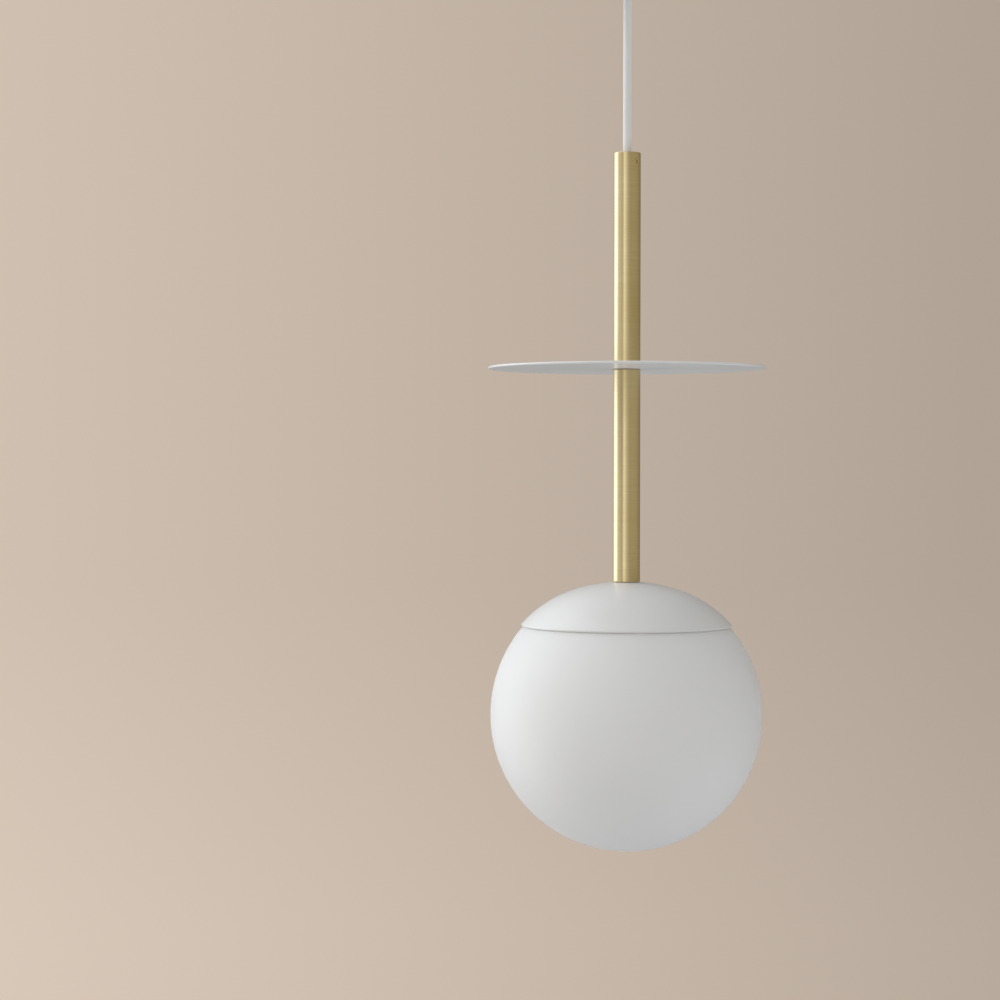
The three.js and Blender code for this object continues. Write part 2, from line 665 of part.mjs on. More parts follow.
// ---- lamp bulb, hanging cap up ----
const collarEdge = Math.sqrt(BULB_RADIUS ** 2 - (COLLAR_BOTTOM - BULB_CENTRE) ** 2);
const tipOutline = [
  [0, 45.9],
  [2.6, 45.9],
  [2.6, 46.8],
  [1.6, 47.8],
  [0, 48],
];
const insulatorOutline = [
  [0, 42.4],
  [8.4, 42.4],
  [8.4, 43.2],
  [4.2, 45.6],
  [0, 45.6],
];
const screwCapOutline = [
  [BULB_CAP_RADIUS, 21],
  [BULB_CAP_RADIUS, 38.5],
  [9.6, 42.1],
  [7.8, 42.1],
  [BULB_CAP_RADIUS - 1, 38],
  [BULB_CAP_RADIUS - 1, 21],
];
const collarOutline = [
  [13.2, 20.7],
  [14.4, 20.7],
  [14.8, 16],
  [17, 8],
  [21, 0],
  [24.5, -7],
  [collarEdge, COLLAR_BOTTOM],
  [collarEdge - COLLAR_WALL, COLLAR_BOTTOM],
  [22.9, -7],
  [19.4, 0],
  [15.4, 8],
];
const rimRise = COLLAR_BOTTOM - GAP - BULB_CENTRE;
const rimAngle = THREE.MathUtils.radToDeg(Math.asin(rimRise / BULB_RADIUS));
const envelopeOutline = [
  ...arc(0, BULB_CENTRE, BULB_RADIUS, rimAngle, -90, 8).slice(0, -1),
  [0, BULB_CENTRE - BULB_RADIUS],
  [0, BULB_CENTRE - BULB_RADIUS + BULB_WALL],
  ...arc(0, BULB_CENTRE, BULB_RADIUS - BULB_WALL, -90, rimAngle, 6).slice(1),
];
add("bulb_tip", revolve(fromGlobe(tipOutline), SMALL), zincSteel);
add("bulb_insulator", revolve(fromGlobe(insulatorOutline), MEDIUM), blackPlastic);
add("bulb_screw_cap", revolve(fromGlobe(screwCapOutline), MEDIUM), zincSteel);
add("bulb_collar", revolve(fromGlobe(collarOutline), MEDIUM), whitePlastic);
add("bulb_envelope", revolve(fromGlobe(envelopeOutline), MEDIUM), opalGlass);

export default light;
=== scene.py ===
"""The looks of a pendant ceiling light: a brass tube through a thin white disc, a domed white cap and an
opal glass globe on a braided cord, under a small ceiling canopy. Heights and lengths are in metres, and the
outlines of turned pieces are in millimetres from a stated height."""

import math

import bmesh
import bpy
import numpy as np
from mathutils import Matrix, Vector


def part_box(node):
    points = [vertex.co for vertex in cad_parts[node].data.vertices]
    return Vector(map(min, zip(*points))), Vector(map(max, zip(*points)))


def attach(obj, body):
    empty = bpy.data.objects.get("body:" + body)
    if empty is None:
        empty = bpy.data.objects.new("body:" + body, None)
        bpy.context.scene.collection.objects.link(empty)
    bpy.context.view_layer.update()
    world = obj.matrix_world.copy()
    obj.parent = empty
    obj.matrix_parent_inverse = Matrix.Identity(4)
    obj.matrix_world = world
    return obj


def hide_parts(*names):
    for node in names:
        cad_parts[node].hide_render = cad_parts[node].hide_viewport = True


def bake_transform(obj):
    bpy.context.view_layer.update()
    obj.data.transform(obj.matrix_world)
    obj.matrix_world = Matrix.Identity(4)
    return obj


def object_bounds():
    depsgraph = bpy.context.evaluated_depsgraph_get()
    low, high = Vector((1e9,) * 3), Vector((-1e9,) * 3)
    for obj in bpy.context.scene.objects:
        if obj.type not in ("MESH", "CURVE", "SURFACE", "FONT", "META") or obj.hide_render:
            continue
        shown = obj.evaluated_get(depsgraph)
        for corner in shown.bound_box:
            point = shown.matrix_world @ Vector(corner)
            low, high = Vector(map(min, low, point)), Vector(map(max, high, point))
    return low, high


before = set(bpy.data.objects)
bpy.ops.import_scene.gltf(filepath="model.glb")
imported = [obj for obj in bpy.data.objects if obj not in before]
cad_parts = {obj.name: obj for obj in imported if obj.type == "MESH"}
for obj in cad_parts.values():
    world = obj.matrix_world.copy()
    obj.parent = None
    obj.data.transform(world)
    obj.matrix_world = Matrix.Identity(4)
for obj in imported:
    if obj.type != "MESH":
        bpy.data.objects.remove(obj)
CAD_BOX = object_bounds()

MM = 0.001
TURN = 2 * math.pi


def heights(node):
    """The lowest and the highest point of a CAD node."""
    low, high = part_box(node)
    return low.z, high.z


def middle_of(node):
    low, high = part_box(node)
    return (low + high) / 2


# ---- places and sizes: the frame's own in metres, and the hole for the nipples in millimetres ----
GLOBE_RADIUS = 0.100
GLOBE_Z = heights("globe")[0] + GLOBE_RADIUS
UPPER_LOW = heights("upper_tube")[0]
DISC_LOW, DISC_TOP = heights("disc")
PLUG_LOW, PLUG_TOP = heights("tube_plug")
GRIP_LOW, GRIP_TOP = heights("cord_grip")
CANOPY_LOW, CANOPY_TOP = heights("canopy")
CORD_BOTTOM = heights("cord")[0]
CORD_PIVOT = heights("cord_bend")[1]
CORD_DIAMETER = 0.006
NIPPLE_HOLE = 5.3


# ---- camera: between the disc and the cap in height, a hand's breadth to the left, looking slightly down ----
CAMERA_DISTANCE = 1.745
CAMERA_RISE = 0.183
CAMERA_SIDE = -0.0932
CAMERA_PITCH = -0.82
CAMERA_ROLL = -0.07
CAMERA_LENS = 85.3


def make_camera():
    data = bpy.data.cameras.new("camera")
    data.sensor_width = 36
    data.lens = CAMERA_LENS
    camera = bpy.data.objects.new("camera", data)
    bpy.context.scene.collection.objects.link(camera)
    camera.location = (CAMERA_SIDE, -CAMERA_DISTANCE, GLOBE_Z + CAMERA_RISE)
    camera.rotation_mode = "ZXY"
    camera.rotation_euler = (math.radians(90 + CAMERA_PITCH), math.radians(CAMERA_ROLL), 0)
    bpy.context.scene.camera = camera


make_camera()


# ---- meshes from grids of points ----
def grid_mesh(name, grid, across, along, loop_rows):
    """Quads between neighbouring points of a (rows, columns, 3) grid whose columns close on themselves.
    The rows close too when loop_rows is true; rows that shrink to a point are merged into a pole.
    across and along give each column's and row's place in the UV map, in metres."""
    rows, columns = grid.shape[:2]
    spans = rows if loop_rows else rows - 1
    i, j = np.meshgrid(np.arange(spans), np.arange(columns), indexing="ij")
    i, j = i.ravel(), j.ravel()
    above, beside = (i + 1) % rows, (j + 1) % columns
    here, over = i * columns, above * columns
    quads = np.stack([here + j, here + beside, over + beside, over + j], 1)
    points = grid.reshape(-1, 3)
    a, b, c, d = (points[quads[:, k]] for k in range(4))
    volume = np.einsum("ij,ij->", a, np.cross(b, c)) + np.einsum("ij,ij->", a, np.cross(c, d))
    corner_u = np.stack([across[j], across[j + 1], across[j + 1], across[j]], 1)
    corner_v = np.stack([along[i], along[i], along[i + 1], along[i + 1]], 1)
    if volume < 0:
        quads, corner_u, corner_v = quads[:, ::-1], corner_u[:, ::-1], corner_v[:, ::-1]
    mesh = bpy.data.meshes.new(name)
    mesh.from_pydata(points.tolist(), [], quads.tolist())
    uv = mesh.uv_layers.new(name="UVMap")
    uv.data.foreach_set("uv", np.stack([corner_u, corner_v], -1).ravel().astype(np.float32))
    work = bmesh.new()
    work.from_mesh(mesh)
    bmesh.ops.remove_doubles(work, verts=work.verts, dist=1e-7)
    work.to_mesh(mesh)
    work.free()
    return finished_object(name, mesh)


def finished_object(name, mesh):
    """An object at the origin that holds the mesh, smooth apart from edges over 38 degrees."""
    mesh.shade_smooth()
    mesh.set_sharp_from_angle(angle=math.radians(38))
    piece = bpy.data.objects.new(name, mesh)
    bpy.context.scene.collection.objects.link(piece)
    return piece


def arc(r, z, radius, start, end, steps):
    """Points of a circle about (r, z), from one angle to another in degrees from the outward direction."""
    turn = np.radians(np.linspace(start, end, steps + 1))
    return np.stack([r + radius * np.cos(turn), z + radius * np.sin(turn)], 1)


def rounded(corners, steps=6):
    """A closed outline of (r, z, fillet) corners. Each corner becomes the arc of its fillet radius that
    touches both edges, with a point just outside each end of the arc so that flat stretches shade flat."""
    made = []
    for k, (r, z, fillet) in enumerate(corners):
        here = np.array([r, z], float)
        back = np.array(corners[k - 1][:2]) - here
        ahead = np.array(corners[(k + 1) % len(corners)][:2]) - here
        if fillet == 0:
            made.append(here)
            continue
        back_length, ahead_length = np.linalg.norm(back), np.linalg.norm(ahead)
        back, ahead = back / back_length, ahead / ahead_length
        half = math.acos(np.clip(back @ ahead, -1, 1)) / 2
        reach = fillet / math.tan(half)
        centre = here + (back + ahead) / np.linalg.norm(back + ahead) * fillet / math.sin(half)
        first, last = here + back * reach, here + ahead * reach
        start = math.atan2(*(first - centre)[::-1])
        sweep = math.remainder(math.atan2(*(last - centre)[::-1]) - start, TURN)
        turns = start + sweep * np.linspace(0, 1, steps + 1)
        support = 0.25 * fillet
        if back_length > reach + 2 * support:
            made.append(first + back * support)
        made += list(centre + fillet * np.stack([np.cos(turns), np.sin(turns)], 1))
        if ahead_length > reach + 2 * support:
            made.append(last + ahead * support)
    return np.array(made)


def turned(name, outline, height=0.0, around=96, shape=None, centre=(0, 0), extra=()):
    """An outline of (r, z) millimetres turned about the upright line through centre: point i, j stands at
    radius r_i and height z_i, at the angle of step j. shape may change radius and height by angle, and extra
    adds angles among the even steps where a small detail needs them."""
    outline = np.asarray(outline, float)
    closed = outline[0, 0] > 1e-6
    angle = np.unique(np.concatenate([np.arange(around) * TURN / around, extra]))
    r = np.repeat(outline[:, :1], len(angle), 1)
    z = np.repeat(outline[:, 1:], len(angle), 1)
    if shape:
        r, z = shape(r, z, angle)
    x = (centre[0] + r * np.cos(angle)) * MM
    y = (centre[1] + r * np.sin(angle)) * MM
    grid = np.stack([x, y, z * MM + height], -1)
    ends = np.vstack([outline, outline[:1]])
    steps = np.hypot(*np.diff(ends, axis=0).T)
    along = np.concatenate([[0], np.cumsum(steps)]) * MM
    across = np.append(angle, TURN) * outline[:, 0].max() * MM
    return grid_mesh(name, grid, across, along, closed)


def smooth_route(points, steps):
    """Centripetal Catmull-Rom curve through the points, as steps points spaced evenly along it."""
    knots = np.asarray(points, float)
    ends = [2 * knots[0] - knots[1], *knots, 2 * knots[-1] - knots[-2]]
    pieces = []
    for p0, p1, p2, p3 in zip(ends, ends[1:], ends[2:], ends[3:]):
        t1 = np.linalg.norm(p1 - p0) ** 0.5
        t2 = t1 + np.linalg.norm(p2 - p1) ** 0.5
        t3 = t2 + np.linalg.norm(p3 - p2) ** 0.5
        t = np.linspace(t1, t2, 24)[:, None]
        a1 = (t1 - t) / t1 * p0 + t / t1 * p1
        a2 = (t2 - t) / (t2 - t1) * p1 + (t - t1) / (t2 - t1) * p2
        a3 = (t3 - t) / (t3 - t2) * p2 + (t - t2) / (t3 - t2) * p3
        b1 = (t2 - t) / t2 * a1 + t / t2 * a2
        b2 = (t3 - t) / (t3 - t1) * a2 + (t - t1) / (t3 - t1) * a3
        pieces.append(((t2 - t) / (t2 - t1) * b1 + (t - t1) / (t2 - t1) * b2)[:-1])
    dense = np.vstack([*pieces, knots[-1:]])
    length = np.concatenate([[0], np.cumsum(np.linalg.norm(np.diff(dense, axis=0), axis=1))])
    places = np.linspace(0, length[-1], steps)
    return np.stack([np.interp(places, length, dense[:, k]) for k in range(3)], 1)


def carried(name, route, section, side):
    """A closed section carried along a route: the section's first axis keeps to side as nearly as it can,
    and its second is square to that and to the route. Both ends are closed by a pole. All in metres."""
    tangent = np.gradient(route, axis=0)
    tangent /= np.linalg.norm(tangent, axis=1)[:, None]
    second = np.cross(tangent, np.asarray(side, float))
    second /= np.linalg.norm(second, axis=1)[:, None]
    first = np.cross(second, tangent)
    ring = section[:, 0, None] * first[:, None, :] + section[:, 1, None] * second[:, None, :]
    grid = route[:, None, :] + ring
    cap = np.repeat(route[:1, None, :], len(section), 1)
    end = np.repeat(route[-1:, None, :], len(section), 1)
    grid = np.vstack([cap, grid, end])
    lengths = np.linalg.norm(np.diff(route, axis=0), axis=1)
    along = np.concatenate([[0, 0], np.cumsum(lengths), [lengths.sum()]])
    edge = np.vstack([section, section[:1]])
    across = np.concatenate([[0], np.cumsum(np.linalg.norm(np.diff(edge, axis=0), axis=1))])
    return grid_mesh(name, grid, across, along, False)


def ring_section(radius, sides):
    angle = np.arange(sides) * TURN / sides
    return radius * np.stack([np.cos(angle), np.sin(angle)], 1)


def softened(node, bevel=0.25):
    """A copy of a plain CAD node with its triangles joined into flat faces and its edges rounded."""
    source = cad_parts[node]
    mesh = source.data.copy()
    mesh.name = node + "_soft"
    work = bmesh.new()
    work.from_mesh(mesh)
    bmesh.ops.remove_doubles(work, verts=work.verts, dist=2e-6)
    bmesh.ops.dissolve_limit(work, angle_limit=math.radians(1), verts=work.verts, edges=work.edges)
    work.to_mesh(mesh)
    work.free()
    piece = finished_object(node + "_soft", mesh)
    rounding = piece.modifiers.new("edges", "BEVEL")
    rounding.width = bevel * MM
    rounding.segments = 2
    rounding.limit_method = "ANGLE"
    rounding.angle_limit = math.radians(42)
    graph = bpy.context.evaluated_depsgraph_get()
    final = bpy.data.meshes.new_from_object(piece.evaluated_get(graph))
    piece.modifiers.clear()
    piece.data = final
    final.shade_smooth()
    final.set_sharp_from_angle(angle=math.radians(30))
    return piece


# ---- materials ----
class Wire:
    """A value in a material's nodes. Arithmetic on it adds Math nodes."""

    def __init__(self, finish, socket):
        self.finish = finish
        self.socket = socket

    def math(self, operation, first, second=0.0):
        return self.finish.math_node(operation, first, second)

    def __add__(self, other):
        return self.math("ADD", self, other)

    def __sub__(self, other):
        return self.math("SUBTRACT", self, other)

    def __rsub__(self, other):
        return self.math("SUBTRACT", other, self)

    def __mul__(self, other):
        return self.math("MULTIPLY", self, other)

    def __gt__(self, other):
        return self.math("GREATER_THAN", self, other)

    def sine(self):
        return self.math("SINE", self)

    __radd__ = __add__
    __rmul__ = __mul__


class Nodes:
    """A node tree that is built one node at a time."""

    def __init__(self, tree):
        self.tree = tree

    def node(self, kind, settings=None, inputs=None, output=0):
        made = self.tree.nodes.new(kind)
        settings = dict(settings or {})
        stops = settings.pop("stops", None)
        for key, value in settings.items():
            setattr(made, key, value)
        if stops:
            ramp = made.color_ramp
            while len(ramp.elements) < len(stops):
                ramp.elements.new(0.5)
            for element, (place, colour) in zip(ramp.elements, stops):
                element.position = place
                element.color = (*colour, 1)
        for key, value in (inputs or {}).items():
            self.feed(made.inputs[key], value)
        return Wire(self, made.outputs[output])

    def math_node(self, operation, first, second=0.0):
        return self.node("ShaderNodeMath", {"operation": operation}, {0: first, 1: second})

    def feed(self, socket, value):
        if isinstance(value, Wire):
            self.tree.links.new(value.socket, socket)
        elif isinstance(value, tuple) and socket.type == "RGBA":
            socket.default_value = (*value, 1)
        else:
            socket.default_value = value

    def spread(self, value, low, high, out_low, out_high):
        """The value, mapped in a straight line and held within the two output values."""
        inputs = {0: value, 1: low, 2: high, 3: out_low, 4: out_high}
        return self.node("ShaderNodeMapRange", {"clamp": True}, inputs)

    def scaled(self, vector, share):
        return self.node("ShaderNodeVectorMath", {"operation": "SCALE"}, {0: vector, "Scale": share})

    def added(self, first, second):
        return self.node("ShaderNodeVectorMath", {"operation": "ADD"}, {0: first, 1: second})


class Finish(Nodes):
    """A material that ends in one Principled shader."""

    def __init__(self, name, **constants):
        self.material = bpy.data.materials.new(name)
        self.material.use_nodes = True
        super().__init__(self.material.node_tree)
        self.shader = self.tree.nodes["Principled BSDF"]
        for socket, value in constants.items():
            self.shader.inputs[socket.replace("_", " ")].default_value = value

    def surface(self, **inputs):
        for key, value in inputs.items():
            self.feed(self.shader.inputs[key.replace("_", " ")], value)
        return self.material

    def place(self, stretch=(1, 1, 1)):
        """Object coordinates, stretched by axis."""
        where = self.node("ShaderNodeTexCoord", output="Object")
        return self.node("ShaderNodeVectorMath", {"operation": "MULTIPLY"}, {0: where, 1: stretch})

    def chart(self):
        """The piece's own UV map, as its two numbers in metres."""
        uv = self.node("ShaderNodeUVMap", {"uv_map": "UVMap"})
        return [self.node("ShaderNodeSeparateXYZ", inputs={0: uv}, output=k) for k in range(2)]

    def noise(self, scale, detail=3.0, rough=0.5, stretch=(1, 1, 1)):
        settings = {"noise_dimensions": "3D"}
        inputs = {"Vector": self.place(stretch), "Scale": scale, "Detail": detail, "Roughness": rough}
        return self.node("ShaderNodeTexNoise", settings, inputs)

    def blend(self, factor, first, second, kind="MIX"):
        settings = {"data_type": "RGBA", "blend_type": kind}
        return self.node("ShaderNodeMix", settings, {0: factor, 6: first, 7: second}, output=2)

    def mottled(self, value, colour, dark, pale, low=0.3, high=0.7):
        """From a darker to a paler tint of the colour, as the value goes from low to high."""
        share = self.spread(value, low, high, 0.0, 1.0)
        return self.blend(share, tinted(colour, dark), tinted(colour, pale))

    def bump(self, height, strength, distance, under=None):
        inputs = {"Height": height, "Strength": strength, "Distance": distance}
        if under is not None:
            inputs["Normal"] = under
        return self.node("ShaderNodeBump", inputs=inputs)


def tinted(colour, share):
    return tuple(min(1.0, c * share) for c in colour)


def powder_coat(name, colour, roughness=0.52):
    """Satin white paint: a fine orange peel of soft cells about a millimetre across, with faint thin patches
    and a few pale specks of dust."""
    f = Finish(name, Specular_IOR_Level=0.24, Coat_Weight=0.45, Coat_Roughness=0.15)
    peel = f.noise(950, 2.0, 0.45)
    fine = f.noise(5200, 2.0, 0.5)
    patch = f.noise(14, 4.0, 0.55)
    specks = f.spread(f.noise(1500, 1.0, 0.4), 0.74, 0.80, 0.0, 0.35)
    base = f.mottled(patch, colour, 0.975, 1.012)
    base = f.blend(specks, base, tinted(colour, 0.86))
    rough = f.spread(patch, 0.3, 0.7, roughness - 0.05, roughness + 0.05)
    normal = f.bump(peel, 0.16, 0.00006)
    normal = f.bump(fine, 0.10, 0.00002, normal)
    return f.surface(Base_Color=base, Roughness=rough + 0.03 * fine, Normal=normal)


def satin_brass(name, colour, along=(70, 70, 15000), roughness=0.3, depth=0.25):
    """Brass brushed round the axis: thousands of fine grooves that run far round the tube and are a few
    hundredths of a millimetre tall, a coarser set of drag lines, bands under a millimetre tall where the
    brush bit deeper, and a warm cloudy tarnish."""
    brushed = {"Anisotropic": 0.8, "Anisotropic_Rotation": 0.25}
    f = Finish(name, Metallic=1.0, Coat_Weight=0.35, Coat_Roughness=0.16, **brushed)
    hair = f.noise(1.0, 3.0, 0.6, along)
    drag = f.noise(1.0, 2.0, 0.5, tuple(0.4 * a if a > 1000 else 0.7 * a for a in along))
    bands = f.noise(1.0, 3.0, 0.65, tuple(0.1 * a if a > 1000 else 0.5 * a for a in along))
    cloud = f.noise(26, 5.0, 0.6)
    streak = f.spread(hair, 0.3, 0.7, 0.0, 1.0)
    tarnish = (colour[0] * 0.93, colour[1] * 0.89, colour[2] * 0.78)
    base = f.blend(f.spread(cloud, 0.35, 0.7, 0.0, 1.0), colour, tarnish)
    base = f.blend(f.spread(bands, 0.35, 0.65, 0.45, 0.0), base, tinted(tarnish, 0.82))
    base = f.blend(0.30 * streak, base, tinted(colour, 1.16))
    rough = f.spread(drag, 0.25, 0.75, roughness - 0.05, roughness + 0.09)
    normal = f.bump(hair, depth, 0.00002)
    normal = f.bump(drag, 0.5 * depth, 0.00003, normal)
    return f.surface(Base_Color=base, Roughness=rough + 0.05 * cloud, Normal=normal)


def opal_glass(name, colour, through, roughness=0.36):
    """Blown opal glass with a satin acid finish: a milky body that lets a share of the light through, with
    faint drifts of density, a very fine tooth and the slow ripple that blowing leaves."""
    f = Finish(name, Specular_IOR_Level=0.45)
    drift = f.noise(9, 4.0, 0.5, (1, 1, 1.7))
    tooth = f.noise(7000, 2.0, 0.5)
    ripple = f.noise(38, 2.0, 0.4, (1, 1, 2.2))
    pits = f.spread(f.noise(620, 1.0, 0.3), 0.76, 0.82, 0.0, 0.5)
    base = f.mottled(drift, colour, 0.985, 1.01)
    base = f.blend(pits, base, tinted(colour, 0.9))
    rough = f.spread(drift, 0.3, 0.7, roughness - 0.04, roughness + 0.05)
    normal = f.bump(ripple, 0.10, 0.0004)
    normal = f.bump(tooth, 0.06, 0.00001, normal)
    f.surface(Base_Color=base, Roughness=rough + 0.05 * tooth, Normal=normal)
    milk = f.node("ShaderNodeBsdfTranslucent", inputs={"Color": (0.99, 0.99, 0.99)})
    share = f.spread(drift, 0.3, 0.7, through - 0.02, through + 0.02)
    skin = Wire(f, f.shader.outputs[0])
    both = f.node("ShaderNodeMixShader", inputs={0: share, 1: skin, 2: milk})
    f.feed(f.tree.nodes["Material Output"].inputs["Surface"], both)
    return f.material


BRAID_STRANDS = 12
BRAID_PITCH = 0.021
YARN = 0.00034
BRAID_STEP = 0.00024
SWING_GAP = 0.001


def textile_braid(name, colour):
    """Braided yarn. Strand numbers run with and against the turn; on each crossing the yarn on top shows its
    own fine filaments. Down in the gaps between yarns the colour is darkened as painted shade."""
    f = Finish(name, Roughness=0.85, Sheen_Weight=0.35, Sheen_Roughness=0.5, Specular_IOR_Level=0.25)
    across, along = f.chart()
    turns = across * (1 / (math.pi * CORD_DIAMETER))
    rise = along * (1 / BRAID_PITCH)
    right = (turns + rise) * BRAID_STRANDS
    left = (turns - rise) * BRAID_STRANDS
    over = (right * math.pi).sine() * (left * math.pi).sine()
    on_top = over > 0.0
    hair_right = (right * (TURN * 5)).sine()
    hair_left = (left * (TURN * 5)).sine()
    hair = on_top * hair_right + (1 - on_top) * hair_left
    gap = over * over
    fuzz = f.noise(2600, 3.0, 0.7)
    # painted shade: down in the gaps between yarns the yarn colour is darkened to 0.6 of itself
    shade = f.spread(gap, 0.0, 0.25, 0.0, 1.0)
    base = f.blend(shade, tinted(colour, 0.6), colour)
    base = f.blend(f.spread(fuzz, 0.35, 0.75, 0.0, 0.35), base, tinted(colour, 1.12))
    normal = f.bump(hair, 0.35, 0.00004)
    normal = f.bump(fuzz, 0.25, 0.00005, normal)
    return f.surface(Base_Color=base, Roughness=0.75 + 0.2 * fuzz, Normal=normal)


def moulded_plastic(name, colour, roughness=0.45, sheen=0.5):
    """Moulded plastic: a fine spark-eroded grain, slight flow marks and a slow change of gloss."""
    f = Finish(name, Specular_IOR_Level=sheen)
    grain = f.noise(3800, 2.0, 0.5)
    flow = f.noise(45, 4.0, 0.55, (1, 1, 0.35))
    base = f.mottled(flow, colour, 0.96, 1.03)
    rough = f.spread(flow, 0.3, 0.7, roughness - 0.06, roughness + 0.06)
    return f.surface(Base_Color=base, Roughness=rough, Normal=f.bump(grain, 0.12, 0.00003))


def plated_steel(name, colour, roughness=0.33, grain=900):
    """Zinc or nickel plate: small flat crystals with their own brightness, rolling lines and light handling
    scratches."""
    f = Finish(name, Metallic=1.0)
    where = {"Vector": f.place(), "Scale": grain}
    cells = f.node("ShaderNodeTexVoronoi", {"feature": "F1"}, where, output="Color")
    bright = f.node("ShaderNodeSeparateXYZ", inputs={0: cells})
    rolling = f.noise(1.0, 3.0, 0.6, (90, 2600, 2600))
    scratch = f.spread(f.noise(1.0, 4.0, 0.7, (3200, 120, 800)), 0.62, 0.7, 0.0, 1.0)
    base = f.mottled(bright, colour, 0.9, 1.08, 0.0, 1.0)
    rough = f.spread(bright, 0.0, 1.0, roughness - 0.07, roughness + 0.07) - 0.06 * scratch
    normal = f.bump(rolling, 0.12, 0.00003)
    return f.surface(Base_Color=base, Roughness=rough, Normal=f.bump(scratch, 0.1, 0.00002, normal))


def silicone(name, colour):
    """Milky silicone rubber with a soft bloom of dust."""
    f = Finish(name, Specular_IOR_Level=0.4, Subsurface_Weight=0.3, Subsurface_Scale=0.004)
    bloom = f.noise(300, 4.0, 0.6)
    base = f.mottled(bloom, colour, 0.92, 1.05, 0.35)
    rough = f.spread(bloom, 0.3, 0.7, 0.45, 0.62)
    return f.surface(Base_Color=base, Roughness=rough, Normal=f.bump(bloom, 0.1, 0.00004))


def wire_jacket(name, colour, stripe=None):
    """PVC wire insulation with fine extrusion lines, and a second colour in stripes along an earth wire."""
    f = Finish(name, Specular_IOR_Level=0.45)
    across, along = f.chart()
    lines = (across * (TURN * 5200)).sine()
    mottle = f.noise(900, 3.0, 0.5)
    base = f.mottled(mottle, colour, 0.9, 1.08)
    if stripe:
        wound = (across * (2 / (TURN * 0.0011)) + along * 40) * math.pi
        base = f.blend(wound.sine() > 0.0, base, stripe)
    rough = f.spread(mottle, 0.3, 0.7, 0.34, 0.46)
    return f.surface(Base_Color=base, Roughness=rough, Normal=f.bump(lines, 0.05, 0.00002))


FINISHES = {
    "white_paint": powder_coat("white_paint", (0.764, 0.764, 0.759)),
    "satin_brass": satin_brass("satin_brass", (0.73, 0.615, 0.355)),
    "plain_brass": satin_brass("plain_brass", (0.70, 0.52, 0.24), (900, 900, 900), 0.3, 0.15),
    "opal_glass": opal_glass("opal_glass", (0.965, 0.97, 0.975), 0.42),
    "bulb_opal": opal_glass("bulb_opal", (0.88, 0.88, 0.86), 0.2, 0.42),
    "spring_steel": plated_steel("spring_steel", (0.60, 0.61, 0.62), 0.26, 2400),
    "zinc_steel": plated_steel("zinc_steel", (0.62, 0.63, 0.64)),
    "white_textile": textile_braid("white_textile", (0.955, 0.95, 0.935)),
    "white_plastic": moulded_plastic("white_plastic", (0.84, 0.84, 0.82)),
    "black_insulator": moulded_plastic("black_insulator", (0.012, 0.011, 0.012), 0.14, 0.6),
    "clear_rubber": silicone("clear_rubber", (0.74, 0.73, 0.69)),
    "brown_wire": wire_jacket("brown_wire", (0.13, 0.05, 0.022)),
    "blue_wire": wire_jacket("blue_wire", (0.03, 0.13, 0.42)),
    "earth_wire": wire_jacket("earth_wire", (0.66, 0.60, 0.03), (0.03, 0.26, 0.05)),
}


def fit_out(piece, body, slot, *nodes):
    """Gives a piece its finish, lets it ride on its body, and hides the CAD nodes that it stands for."""
    piece.data.materials.clear()
    piece.data.materials.append(FINISHES[slot])
    if body:
        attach(piece, body)
    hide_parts(*nodes)


def fit_turned(node, kind, body, slot, outline, height, around=96, **detail):
    """Turns the piece that stands for one CAD node and fits it out; its name is the node's and the kind."""
    fit_out(turned(f"{node}_{kind}", outline, height, around, **detail), body, slot, node)


# ---- cord ----
def braided(name, low, high, fine=1.0):
    """An upright braid over a round core. With strand numbers a = n (turn + height / pitch) and
    b = n (turn - height / pitch), each yarn's back is the root of |sin(pi a)| or |sin(pi b)|, lifted where it
    goes over and dropped where it goes under; the surface is the higher of the two."""
    columns = int(BRAID_STRANDS * 8 * fine)
    rows = int((high - low) / BRAID_STEP * fine)
    levels = np.linspace(low, high, rows)[:, None]
    turns = (np.arange(columns) / columns)[None, :]
    a = BRAID_STRANDS * (turns + levels / BRAID_PITCH)
    b = BRAID_STRANDS * (turns - levels / BRAID_PITCH)
    over = np.clip(1.6 * np.sin(math.pi * a) * np.sin(math.pi * b), -1, 1)
    back_a = np.sqrt(np.abs(np.sin(math.pi * a))) * (0.62 + 0.38 * over)
    back_b = np.sqrt(np.abs(np.sin(math.pi * b))) * (0.62 - 0.38 * over)
    radius = CORD_DIAMETER / 2 - YARN * (1 - np.maximum(back_a, back_b))
    angle = turns * TURN
    grid = np.stack([radius * np.cos(angle), radius * np.sin(angle), levels + 0 * radius], -1)
    ends = grid[[0, -1]].copy()
    ends[..., :2] = 0
    grid = np.vstack([ends[:1], grid, ends[1:]])
    along = np.concatenate([[low], levels.ravel(), [high]])
    across = np.arange(columns + 1) / columns * math.pi * CORD_DIAMETER
    return grid_mesh(name, grid, across, along, False)


def make_cord():
    """The free cord from its grip down into the tube, and the lengths held still above and below it. The
    one above stops short inside the grip, so that the tilting end of the free cord clears it."""
    low, high = CORD_BOTTOM, CORD_PIVOT
    cord = braided("cord_braid", low, high)
    fit_out(cord, None, "white_textile", "cord", "cord_bend")
    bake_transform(cord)
    held = (("clamped_cord", "ceiling_fitting", 1.0, SWING_GAP), ("inner_cord", "pendant", 0.5, 0))
    for node, body, fine, gap in held:
        low, high = heights(node)
        fit_out(braided(node + "_braid", low + gap, high, fine), body, "white_textile", node)


make_cord()


# ---- brass tubes, plug and disc ----
TUBE_RADIUS = 10
TUBE_BORE = 9
TUBE_EDGE = 0.45
GRUB_TURN = -48
GRUB_HOLE = 1.8
GRUB_SINK = 0.85
GRUB_HEAD = 9.8


